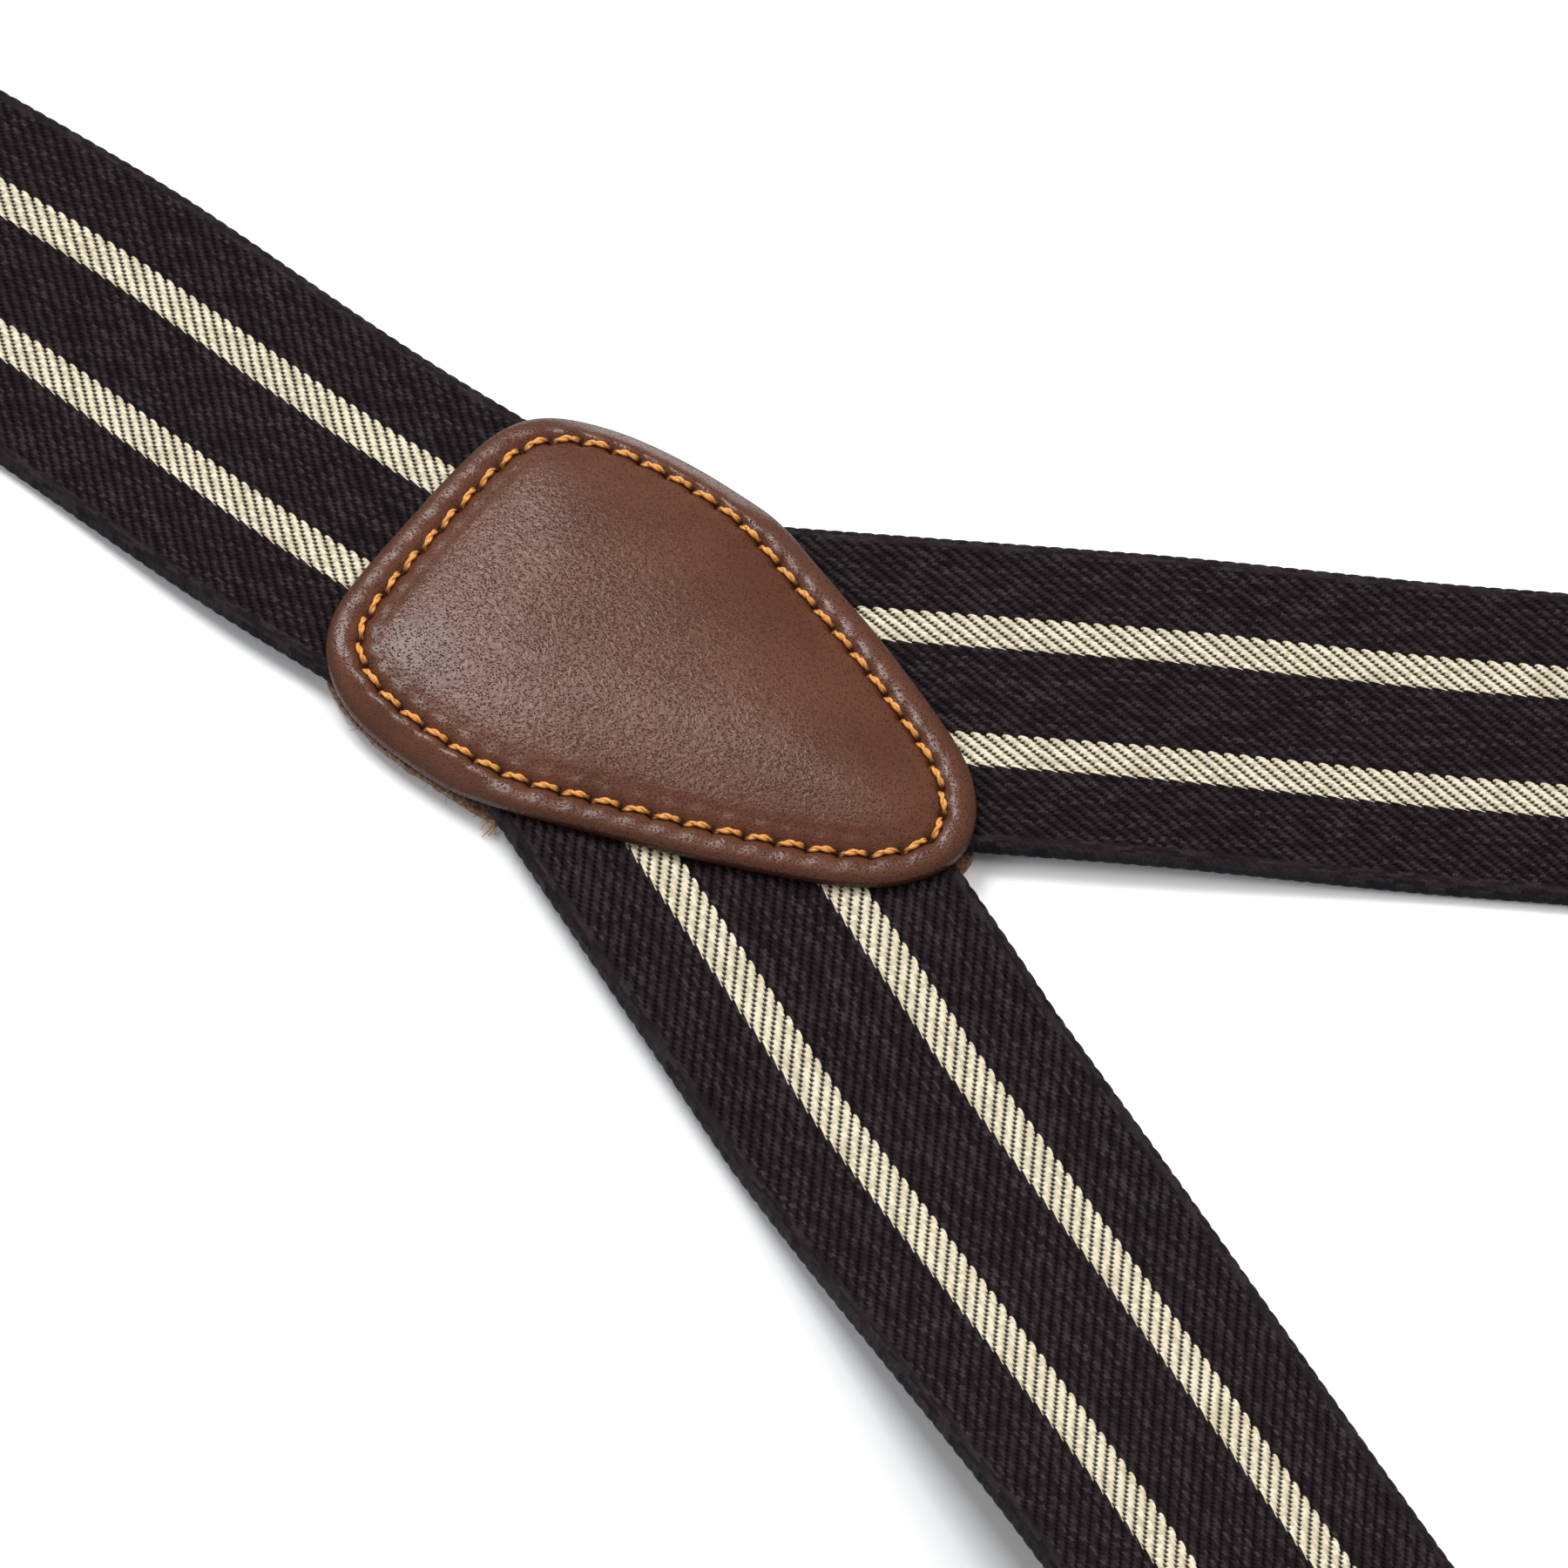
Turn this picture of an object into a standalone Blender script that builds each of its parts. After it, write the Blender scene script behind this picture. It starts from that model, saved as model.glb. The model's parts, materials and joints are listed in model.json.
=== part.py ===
"""Gentleman's Y-back suspenders, lying face up on a table.

Two front straps and one back strap of 35 mm webbing meet under a leather patch. Each strap ends in
a wire ring, a leather tab and a lever clip. The front straps carry slide adjusters.
+X runs from the back clip to the front clips, +Y is the wearer's left and +Z is up. Lengths in metres.
"""
import math

import bpy
import bmesh
from mathutils import Matrix, Vector

MM = 0.001

# Clearance kept between separate solids that touch in the real object.
GAP = 0.3 * MM

# Webbing.
STRAP_WIDTH = 35.0 * MM
STRAP_THICK = 2.0 * MM

# Leather patch, seen from above: distance along X from its middle, then half width.
LEATHER_THICK = 1.2 * MM
LINING_THICK = 1.0 * MM
PATCH_DOME = 1.2 * MM
PATCH_HALF_PROFILE = (
    (-30.8, 0.0), (-30.8, 5.0), (-30.6, 10.0), (-30.0, 13.6), (-28.2, 16.8), (-25.2, 19.2),
    (-21.4, 20.7), (-17.0, 21.4), (-12.0, 21.7), (-8.0, 21.6), (-4.5, 21.2), (-1.0, 20.2),
    (3.0, 18.8), (8.0, 17.1), (13.0, 15.4), (18.0, 13.4), (23.0, 11.3), (27.0, 9.4),
    (30.2, 7.2), (32.6, 4.4), (33.8, 1.6), (33.9, 0.0),
)
STITCH_INSET = 3.1 * MM
STITCH_PITCH = 3.0 * MM
THREAD_WIDTH = 0.7 * MM
THREAD_HIGH = 0.4 * MM
TACK_PITCH = 2.4 * MM

# How the straps are laid out.
BACK_REACH = 200.0 * MM
FRONT_REACH = 590.0 * MM
LAY_HALF_WIDTH = 100.0 * MM
FRONT_LAY = {
    "left": {"side": 1, "start": -3.5 * MM, "angle": 30.8, "straight": 85.0 * MM},
    "right": {"side": -1, "start": -10.2 * MM, "angle": 24.15, "straight": 118.0 * MM},
}
RIGHT_BANK = 12.0

# Wire ring between strap and tab.
RING_WIRE = 3.0 * MM
RING_PITCH = 11.5 * MM
RING_SIDE_CLEARANCE = 0.5 * MM

# Leather end tab.
TAB_WIDTH = 24.0 * MM
TAB_LEATHER = 1.6 * MM
TAB_REACH = 34.0 * MM

# Lever clip.
CLIP_PLATE = 1.0 * MM
CLIP_REACH = 45.4 * MM
CLIP_HEAD_WIDTH = 30.0 * MM
LEVER_WIDTH = 22.0 * MM
LEVER_REACH = 30.0 * MM
EAR_THICK = 1.2 * MM
PIVOT_PIN = 2.0 * MM
CLIP_PAD_THICK = 1.2 * MM

# Slide adjuster.
ADJUST_SETTING = 110.0 * MM
FRAME_THICK = 1.2 * MM
FRAME_RAIL = 3.0 * MM
FRAME_BAR = 5.6 * MM
FRAME_WINDOW = 7.0 * MM
GATE_PIN = 1.6 * MM
GATE_REACH = 17.0 * MM
FOLD_LENGTH = 16.0 * MM

# Heights that follow from the stack at an adjuster: webbing, frame bar, webbing, thread, webbing.
BAR_LOW = STRAP_THICK + GAP
FOLD_LOW = BAR_LOW + FRAME_THICK + GAP
OUTER_LOW = FOLD_LOW + STRAP_THICK + 2 * GAP + THREAD_HIGH - 0.1 * MM
TURN_RADIUS = OUTER_LOW / 2
AXIS_HIGH = TURN_RADIUS + STRAP_THICK / 2
EYE_RADIUS = AXIS_HIGH

# Lengths that follow.
CHAIN = RING_PITCH + TAB_REACH + CLIP_REACH
PATCH_X = (BACK_REACH - FRONT_REACH) / 2
PIVOT_X = CLIP_REACH - 9.4 * MM
PAD_LOW = CLIP_PLATE + GAP
PAD_HIGH = PAD_LOW + CLIP_PAD_THICK
PIVOT_Z = PAD_HIGH + 3.7 * MM

SHEAR_GAP = GAP / 2

for old in list(bpy.data.objects):
    bpy.data.objects.remove(old, do_unlink=True)

scene = bpy.context.scene
product = bpy.data.collections.new("suspenders")
scene.collection.children.link(product)
tools = bpy.data.collections.new("cutters")
scene.collection.children.link(tools)


def finish_material(name, colour, roughness, metallic):
    """One Principled material for a kind of piece."""
    made = bpy.data.materials.new(name)
    made.use_nodes = True
    shader = made.node_tree.nodes["Principled BSDF"]
    shader.inputs["Base Color"].default_value = (*colour, 1.0)
    shader.inputs["Roughness"].default_value = roughness
    shader.inputs["Metallic"].default_value = metallic
    return made


WEBBING = finish_material("webbing", (0.035, 0.030, 0.028), 0.85, 0.0)
LEATHER = finish_material("patch_leather", (0.30, 0.13, 0.05), 0.42, 0.0)
LINING = finish_material("lining_leather", (0.36, 0.20, 0.11), 0.75, 0.0)
THREAD = finish_material("thread", (0.78, 0.36, 0.08), 0.60, 0.0)
DARK_THREAD = finish_material("dark_thread", (0.05, 0.04, 0.04), 0.70, 0.0)
NICKEL = finish_material("nickel", (0.72, 0.71, 0.69), 0.22, 1.0)
GRIP = finish_material("grip", (0.05, 0.05, 0.05), 0.80, 0.0)


def add_mesh(name, bm, material):
    """Closes off a bmesh as a named object of the product."""
    bmesh.ops.recalc_face_normals(bm, faces=bm.faces[:])
    mesh = bpy.data.meshes.new(name)
    bm.to_mesh(mesh)
    bm.free()
    mesh.materials.append(material)
    made = bpy.data.objects.new(name, mesh)
    product.objects.link(made)
    return made


def loft(bm, sections, closed=False):
    """Skins equal-length loops of points, with flat ends unless the run is closed."""
    loops = [[bm.verts.new(point) for point in section] for section in sections]
    count = len(loops[0])
    runs = len(loops) if closed else len(loops) - 1
    for i in range(runs):
        near, far = loops[i], loops[(i + 1) % len(loops)]
        for j in range(count):
            k = (j + 1) % count
            bm.faces.new((near[j], near[k], far[k], far[j]))
    if not closed:
        bm.faces.new(loops[0])
        bm.faces.new(list(reversed(loops[-1])))


def side_profile(name, outline, holes, width, middle_y, material):
    """A profile in X and Z, with holes, as wide as stated along Y."""
    curve = bpy.data.curves.new(name, "CURVE")
    curve.dimensions = "2D"
    curve.fill_mode = "BOTH"
    curve.extrude = width / 2
    for loop in [outline] + list(holes):
        spline = curve.splines.new("POLY")
        spline.points.add(len(loop) - 1)
        for point, (x, z) in zip(spline.points, loop):
            point.co = (x, z, 0.0, 1.0)
        spline.use_cyclic_u = True
    drawn = bpy.data.objects.new(name + "_outline", curve)
    product.objects.link(drawn)
    bpy.context.view_layer.update()
    seen = drawn.evaluated_get(bpy.context.evaluated_depsgraph_get())
    mesh = bpy.data.meshes.new_from_object(seen)
    bpy.data.objects.remove(drawn, do_unlink=True)
    bm = bmesh.new()
    bm.from_mesh(mesh)
    bpy.data.meshes.remove(mesh)
    bmesh.ops.remove_doubles(bm, verts=bm.verts[:], dist=0.00001)
    bmesh.ops.rotate(bm, verts=bm.verts[:], cent=(0, 0, 0), matrix=Matrix.Rotation(math.pi / 2, 3, "X"))
    bmesh.ops.translate(bm, verts=bm.verts[:], vec=(0, middle_y, 0))
    return add_mesh(name, bm, material)


def arc(x, z, radius, first, last, count):
    """Points on an arc, angles in degrees."""
    out = []
    for i in range(count + 1):
        turn = math.radians(first + (last - first) * i / count)
        out.append((x + radius * math.cos(turn), z + radius * math.sin(turn)))
    return out


def circle(x, z, radius, count=24):
    """Points round a circle."""
    return arc(x, z, radius, 0.0, 360.0, count)[:-1]


def box(bm, low, high):
    """A box between two corners."""
    made = bmesh.ops.create_cube(bm, size=1.0)["verts"]
    size = [h - l for l, h in zip(low, high)]
    middle = [(h + l) / 2 for l, h in zip(low, high)]
    bmesh.ops.scale(bm, verts=made, vec=size)
    bmesh.ops.translate(bm, verts=made, vec=middle)
    return made


def rod(bm, centre, radius, length, segments=24):
    """A round rod along Y."""
    turn = Matrix.Translation(centre) @ Matrix.Rotation(math.pi / 2, 4, "X")
    bmesh.ops.create_cone(
        bm, cap_ends=True, segments=segments, radius1=radius, radius2=radius, depth=length, matrix=turn
    )


def cutter(name, bm):
    """A shape used only to cut or join another."""
    bmesh.ops.recalc_face_normals(bm, faces=bm.faces[:])
    mesh = bpy.data.meshes.new(name)
    bm.to_mesh(mesh)
    bm.free()
    made = bpy.data.objects.new(name, mesh)
    tools.objects.link(made)
    made.hide_render = True
    made.display_type = "WIRE"
    return made


def combine(target, operation, other):
    """Joins a cutter to a piece, or cuts it away."""
    step = target.modifiers.new(other.name, "BOOLEAN")
    step.operation = operation
    step.solver = "EXACT"
    step.object = other


def smooth_step(value, low, high):
    """Rises from 0 at low to 1 at high."""
    t = min(max((value - low) / (high - low), 0.0), 1.0)
    return t * t * (3 - 2 * t)


def round_shade(piece):
    """Smooth shading with sharp edges kept."""
    for face in piece.data.polygons:
        face.use_smooth = True
    piece.data.set_sharp_from_angle(angle=math.radians(35))


def hang_on(names, point):
    """Puts the origin of moving pieces on their joint's axis."""
    for name in names:
        piece = bpy.data.objects[name]
        piece.data.transform(Matrix.Translation([-value for value in point]))
        piece.location = point


# The patch: outline points from the half profile, mirrored about its long axis.
def patch_outline():
    upper = [(x * MM, y * MM) for x, y in PATCH_HALF_PROFILE]
    lower = [(x, -y) for x, y in reversed(upper[1:-1])]
    return upper + lower


def inset_outline(points, distance):
    """Moves every point of a clockwise outline inwards by a distance."""
    out = []
    count = len(points)
    for i, (x, y) in enumerate(points):
        ax, ay = points[i - 1]
        bx, by = points[(i + 1) % count]
        length = math.hypot(bx - ax, by - ay)
        out.append((x + (by - ay) / length * distance, y - (bx - ax) / length * distance))
    return out


def toward_middle(points, share):
    """Moves every point of the patch by a share of its way to the line along the patch's middle."""
    out = []
    for x, y in points:
        middle = min(max(0.62 * x - 3 * MM, -16 * MM), 17 * MM)
        out.append((x + (middle - x) * share, y * (1 - share)))
    return out


class FrontLay:
    """Where one front strap runs: straight out of the patch, a bend, then straight along X."""

    def __init__(self, side, start, angle, straight):
        self.side = side
        self.start = start
        self.angle = math.radians(angle)
        self.straight = straight
        offset = straight * math.sin(self.angle)
        self.radius = (LAY_HALF_WIDTH - offset) / (1 - math.cos(self.angle))
        self.bend_end = straight + self.radius * self.angle
        bend_x = start + straight * math.cos(self.angle) + self.radius * math.sin(self.angle)
        self.level_x = bend_x
        self.end = self.bend_end + FRONT_REACH - bend_x

    def plan(self, s):
        """Middle of the strap and its heading, in the patch's own place."""
        if s <= self.straight:
            x = self.start + s * math.cos(self.angle)
            return x, self.side * s * math.sin(self.angle), self.angle * self.side
        if s >= self.bend_end:
            return self.level_x + s - self.bend_end, self.side * LAY_HALF_WIDTH, 0.0
        turned = (s - self.straight) / self.radius
        heading = self.angle - turned
        x = self.start + self.straight * math.cos(self.angle)
        y = self.straight * math.sin(self.angle)
        x += self.radius * (math.sin(self.angle) - math.sin(heading))
        y += self.radius * (math.cos(heading) - math.cos(self.angle))
        return x, self.side * y, heading * self.side

    def low(self, s):
        """Height of the underside at the middle of the strap."""
        under_patch = (LINING_THICK + GAP) * (1 - smooth_step(s, 45 * MM, 80 * MM))
        if self.side > 0:
            rise = OUTER_LOW * smooth_step(s, self.bend_end - 110 * MM, self.bend_end)
            return under_patch + rise
        rise = OUTER_LOW * smooth_step(s, 40 * MM, 125 * MM)
        return max(under_patch, rise)

    def bank(self, s):
        """How far the outer edge is turned up, in radians."""
        if self.side > 0:
            return 0.0
        up = smooth_step(s, 50 * MM, 120 * MM) - smooth_step(s, 160 * MM, self.bend_end - 20 * MM)
        return math.radians(RIGHT_BANK) * up


def ribbon_section(middle, across, up, half_out, half_in, thick):
    """Four corners of a strap section. middle is on the underside."""
    low_out = middle + across * half_out
    low_in = middle - across * half_in
    return [low_out, low_in, low_in + up * thick, low_out + up * thick]


def turn_sections(x, y, direction, width):
    """Sections of webbing turning half round a ring axis, from the upper run to the lower one."""
    out = []
    for i in range(1, 13):
        turn = math.pi * i / 12
        outward = Vector((direction * math.sin(turn), 0, math.cos(turn)))
        middle = Vector((x, y, AXIS_HIGH)) + outward * (TURN_RADIUS - STRAP_THICK / 2)
        out.append(ribbon_section(middle, Vector((0, 1, 0)), outward, width / 2, width / 2, STRAP_THICK))
    return out


def front_strap(name, lay):
    """The long run of a front strap, from under the patch round its ring."""
    half = STRAP_WIDTH / 2
    heading = Vector((math.cos(lay.angle), lay.side * math.sin(lay.angle), 0))
    first = (-15 * MM - lay.start + half * math.sin(lay.angle)) / math.cos(lay.angle)
    stations = []
    s = first
    while s < lay.end - 6 * MM:
        stations.append(s)
        s += 6 * MM if s > 44 * MM else 4 * MM
    stations.append(lay.end - 3 * MM)
    stations.append(lay.end)
    sections = []
    for s in stations:
        x, y, turned = lay.plan(s)
        bank = lay.bank(s)
        across = Vector((-math.sin(turned) * lay.side, math.cos(turned) * lay.side, 0))
        reach_in = half
        to_axis = (y * lay.side - SHEAR_GAP) / (across.y * lay.side)
        if to_axis < half:
            reach_in = to_axis
        tilt = across * math.cos(bank) + Vector((0, 0, math.sin(bank)))
        up = Vector((0, 0, 1)) * math.cos(bank) - across * math.sin(bank)
        middle = Vector((PATCH_X + x, y, lay.low(s)))
        sections.append(ribbon_section(middle, tilt, up, half, reach_in, STRAP_THICK))
    for section in turn_sections(PATCH_X + FRONT_REACH, lay.side * LAY_HALF_WIDTH, 1, STRAP_WIDTH):
        if lay.side > 0:
            sections.append(section)
        else:
            sections.append([section[1], section[0], section[3], section[2]])
    bm = bmesh.new()
    loft(bm, sections)
    return add_mesh(name, bm, WEBBING)


def path_ribbon(name, points, y, width, thick, material):
    """Webbing that follows middle-line points in X and Z, equally wide all along."""
    sections = []
    for i, (x, z) in enumerate(points):
        ax, az = points[max(i - 1, 0)]
        bx, bz = points[min(i + 1, len(points) - 1)]
        along = Vector((bx - ax, 0, bz - az)).normalized()
        up = Vector((0, 1, 0)).cross(along)
        middle = Vector((x, y, z)) - up * thick / 2
        sections.append(ribbon_section(middle, Vector((0, 1, 0)), up, width / 2, width / 2, thick))
    bm = bmesh.new()
    loft(bm, sections)
    return add_mesh(name, bm, material)


def walk(points, closed):
    """Corner distances along a run of points in plan."""
    ends = points[1:] + (points[:1] if closed else [])
    lengths = [math.hypot(b[0] - a[0], b[1] - a[1]) for a, b in zip(points, ends)]
    return lengths


def along_walk(points, lengths, want):
    """The place and heading at a distance along a run of points."""
    i = 0
    while i < len(lengths) - 1 and want > lengths[i]:
        want -= lengths[i]
        i += 1
    ax, ay = points[i]
    bx, by = points[(i + 1) % len(points)]
    share = want / lengths[i]
    return ax + (bx - ax) * share, ay + (by - ay) * share, math.atan2(by - ay, bx - ax)


def sewn_thread(name, points, z, pitch, material, closed=False):
    """The top thread of a row of stitches: one thread, full in each stitch and thin at each hole."""
    lengths = walk(points, closed)
    total = sum(lengths)
    stitches = max(round(total / pitch), 1)
    shape = ((0.0, 0.35), (0.25, 1.0), (0.75, 1.0))
    sections = []
    for n in range(stitches):
        for share, full in shape:
            x, y, turned = along_walk(points, lengths, total * (n + share) / stitches)
            sections.append((x, y, turned, full))
    if not closed:
        x, y, turned = along_walk(points, lengths, total * 0.99999)
        sections.append((x, y, turned, 0.35))
    loops = []
    for x, y, turned, full in sections:
        side = Vector((-math.sin(turned), math.cos(turned), 0))
        loop = []
        for j in range(4):
            around = math.pi * j / 2
            out = side * math.cos(around) * THREAD_WIDTH / 2 * full
            lift = THREAD_HIGH / 2 * (full + math.sin(around) * full)
            loop.append(Vector((x, y, z + lift)) + out)
        loops.append(loop)
    bm = bmesh.new()
    loft(bm, loops, closed)
    return add_mesh(name, bm, material)


def tack_points(x_from, x_to, y, rows):
    """The route of a tack: rows across the strap end, joined at alternate sides."""
    reach = STRAP_WIDTH / 2 - 3 * MM
    points = []
    for row in range(rows):
        x = x_from + (x_to - x_from) * row / (rows - 1)
        ends = (-reach, reach) if row % 2 == 0 else (reach, -reach)
        for end in ends:
            points.append((x, y + end))
    return points


# Lays of the two front straps.
LAYS = {name: FrontLay(**values) for name, values in FRONT_LAY.items()}


def over_strap(x, y):
    """Whether a place in the patch lies over webbing, with a little to spare."""
    half = STRAP_WIDTH / 2 + 2.6 * MM
    if x < -14 * MM and abs(y) < half:
        return True
    for lay in LAYS.values():
        dx, dy = x - lay.start, y * lay.side
        across = dy * math.cos(lay.angle) - dx * math.sin(lay.angle)
        if dy > -1 * MM and abs(across) < half and x > -17 * MM:
            return True
    return False


def build_patch():
    """Lining below, domed leather above, and the row of stitches that joins them."""
    outline = patch_outline()
    bm = bmesh.new()
    base = [bm.verts.new((PATCH_X + x, y, 0.0)) for x, y in outline]
    face = bm.faces.new(base)
    grown = bmesh.ops.extrude_face_region(bm, geom=[face])["geom"]
    tops = [item for item in grown if isinstance(item, bmesh.types.BMVert)]
    bmesh.ops.translate(bm, verts=tops, vec=(0, 0, LINING_THICK))
    add_mesh("patch_lining", bm, LINING)

    strap_top = LINING_THICK + GAP + STRAP_THICK
    sewn = inset_outline(outline, STITCH_INSET)
    loops = [(0.0, outline), (0.0, inset_outline(outline, STITCH_INSET * 0.5)), (0.0, sewn)]
    for step, share in ((0.0, 0.05), (0.45, 0.25), (0.8, 0.5), (0.97, 0.78)):
        loops.append((step, toward_middle(sewn, share)))
    rings = []
    for step, loop in loops:
        ring = []
        for (x, y), (ex, ey) in zip(loop, outline):
            low = strap_top + GAP + PATCH_DOME * step
            if loop is outline and not over_strap(ex, ey):
                low = LINING_THICK + GAP
            ring.append((PATCH_X + x, y, low))
        rings.append(ring)
    count = len(outline)
    bm = bmesh.new()
    under = [[bm.verts.new(p) for p in ring] for ring in rings]
    over = [[bm.verts.new((p[0], p[1], p[2] + LEATHER_THICK)) for p in ring] for ring in rings]
    for i in range(len(rings) - 1):
        for j in range(count):
            k = (j + 1) % count
            bm.faces.new((under[i][j], under[i][k], under[i + 1][k], under[i + 1][j]))
            bm.faces.new((over[i][k], over[i][j], over[i + 1][j], over[i + 1][k]))
    for j in range(count):
        k = (j + 1) % count
        bm.faces.new((under[0][k], under[0][j], over[0][j], over[0][k]))
    bm.faces.new(under[-1])
    bm.faces.new(list(reversed(over[-1])))
    add_mesh("patch_leather", bm, LEATHER)

    line = [(PATCH_X + x, y) for x, y in sewn]
    z = strap_top + GAP + LEATHER_THICK + 0.15 * MM
    sewn_thread("patch_stitching", line, z, STITCH_PITCH, THREAD, closed=True)


def build_back_strap():
    """One length of webbing from the patch, round the back ring and sewn down on itself."""
    ring_x = PATCH_X - BACK_REACH
    fold_end = ring_x + 34 * MM
    high = AXIS_HIGH + TURN_RADIUS
    lap = STRAP_THICK * 1.5 + GAP
    flat = STRAP_THICK / 2
    patch_z = LINING_THICK + GAP + STRAP_THICK / 2
    points = []
    for i in range(9):
        t = i / 8
        points.append((PATCH_X - 16 * MM - 16 * MM * t, patch_z))
    for i in range(1, 13):
        t = i / 12
        z = patch_z + (flat - patch_z) * smooth_step(t, 0, 1)
        points.append((PATCH_X - 32 * MM - 36 * MM * t, z))
    points.append((PATCH_X - 110 * MM, flat))
    for i in range(9):
        t = i / 8
        points.append((fold_end + 16 * MM - 14 * MM * t, flat + (lap - flat) * smooth_step(t, 0, 1)))
    points.append((ring_x + 18 * MM, lap))
    for i in range(1, 9):
        t = i / 8
        points.append((ring_x + 18 * MM - 17 * MM * t, lap + (high - lap) * smooth_step(t, 0, 1)))
    for i in range(0, 13):
        turn = math.pi * i / 12
        points.append((ring_x - TURN_RADIUS * math.sin(turn), AXIS_HIGH + TURN_RADIUS * math.cos(turn)))
    points.append((ring_x + 17 * MM, flat))
    points.append((fold_end, flat))
    path_ribbon("back_strap", points, 0.0, STRAP_WIDTH, STRAP_THICK, WEBBING)
    route = tack_points(ring_x + 21 * MM, ring_x + 31 * MM, 0.0, 3)
    sewn_thread("back_strap_tack", route, lap + flat + 0.15 * MM, TACK_PITCH, DARK_THREAD)


def build_return_run(side_name, lay):
    """The doubled end of a front strap: back from the ring, round the adjuster's bar and sewn."""
    y = lay.side * LAY_HALF_WIDTH
    ring_x = PATCH_X + FRONT_REACH
    wrap_x = ring_x - ADJUST_SETTING
    low = STRAP_THICK / 2
    high = FOLD_LOW + STRAP_THICK / 2
    radius = (high - low) / 2
    points = [(ring_x - GAP, low)]
    for i in range(1, 9):
        points.append((ring_x - GAP - (ADJUST_SETTING - 2 * MM) * i / 9, low))
    for i in range(0, 9):
        turn = math.pi * i / 8
        points.append((wrap_x - radius * math.sin(turn), low + radius - radius * math.cos(turn)))
    points.append((wrap_x + 8 * MM, high))
    points.append((wrap_x + FOLD_LENGTH, high))
    path_ribbon(side_name + "_return_run", points, y, STRAP_WIDTH, STRAP_THICK, WEBBING)
    top = FOLD_LOW + STRAP_THICK + 0.15 * MM
    route = tack_points(wrap_x + 8.5 * MM, wrap_x + 13 * MM, y, 2)
    sewn_thread(side_name + "_return_tack", route, top, TACK_PITCH, DARK_THREAD)


def build_adjuster(side_name, lay):
    """A stamped frame with two cheeks, a toothed gate over the strap, and the gate's pin."""
    y = lay.side * LAY_HALF_WIDTH
    wrap_x = PATCH_X + FRONT_REACH - ADJUST_SETTING
    inner = STRAP_WIDTH / 2 + RING_SIDE_CLEARANCE
    outer = inner + FRAME_RAIL
    bar_from = wrap_x - 0.4 * MM
    bar_to = bar_from + FRAME_BAR
    far = bar_from - FRAME_WINDOW - 4 * MM
    pin_x = far + 4 * MM
    pin_z = OUTER_LOW + STRAP_THICK + 2.1 * MM
    cheek = 1.2 * MM

    bm = bmesh.new()
    box(bm, (far, y - outer, BAR_LOW), (bar_to, y + outer, BAR_LOW + FRAME_THICK))
    frame = add_mesh(side_name + "_adjuster_frame", bm, NICKEL)
    bm = bmesh.new()
    box(
        bm,
        (bar_from - FRAME_WINDOW, y - inner, BAR_LOW - 1 * MM),
        (bar_from, y + inner, BAR_LOW + FRAME_THICK + 1 * MM),
    )
    combine(frame, "DIFFERENCE", cutter(side_name + "_frame_window", bm))
    for end in (-1, 1):
        bm = bmesh.new()
        near, off = sorted((y + end * (outer - cheek), y + end * outer))
        box(bm, (far + 0.5 * MM, near, BAR_LOW + 0.2 * MM), (far + 8 * MM, off, pin_z + 1.8 * MM))
        combine(frame, "UNION", cutter(f"{side_name}_frame_cheek_{end + 1}", bm))
    bm = bmesh.new()
    rod(bm, (pin_x, y, pin_z), GATE_PIN / 2 + GAP, 2 * outer + 4 * MM)
    combine(frame, "DIFFERENCE", cutter(side_name + "_frame_pin_hole", bm))

    bm = bmesh.new()
    rod(bm, (pin_x, y, pin_z), GATE_PIN / 2, 2 * outer + 1.2 * MM)
    round_shade(add_mesh(side_name + "_gate_pin", bm, NICKEL))

    knuckle = GATE_PIN / 2 + GAP + 0.7 * MM
    top = pin_z + knuckle
    tip = pin_x + GATE_REACH
    outline = arc(pin_x, pin_z, knuckle, 90, 320, 14)
    outline += [
        (pin_x + 2.2 * MM, top - 1.0 * MM), (tip - 2.4 * MM, top - 1.0 * MM), (tip - 0.9 * MM, top - 2.0 * MM),
        (tip, top - 1.6 * MM), (tip - 1.0 * MM, top - 0.3 * MM), (tip - 2.4 * MM, top),
    ]
    width = 2 * (outer - cheek - 0.4 * MM)
    hole = circle(pin_x, pin_z, GATE_PIN / 2 + GAP, 20)
    gate = side_profile(side_name + "_adjuster_gate", outline, [hole], width, y, NICKEL)
    bm = bmesh.new()
    teeth = 14
    reach = STRAP_WIDTH / 2 - 1 * MM
    tooth_low = OUTER_LOW + STRAP_THICK + 0.2 * MM
    pitch = 2 * reach / teeth
    for i in range(teeth):
        start = y - reach + pitch * i + 0.1 * MM
        stop = start + pitch - 0.2 * MM
        made = box(bm, (pin_x + 4.0 * MM, start, tooth_low), (pin_x + 5.0 * MM, stop, top - 0.5 * MM))
        lows = [v for v in made if v.co.z < tooth_low + 0.1 * MM]
        middle = (start + stop) / 2
        for vert in lows:
            vert.co.y = middle + (vert.co.y - middle) * 0.35
    combine(gate, "UNION", cutter(side_name + "_gate_teeth", bm))
    hang_on([side_name + "_adjuster_frame", side_name + "_gate_pin"], (wrap_x, y, BAR_LOW))
    hang_on([side_name + "_adjuster_gate"], (pin_x, y, pin_z))


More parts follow.
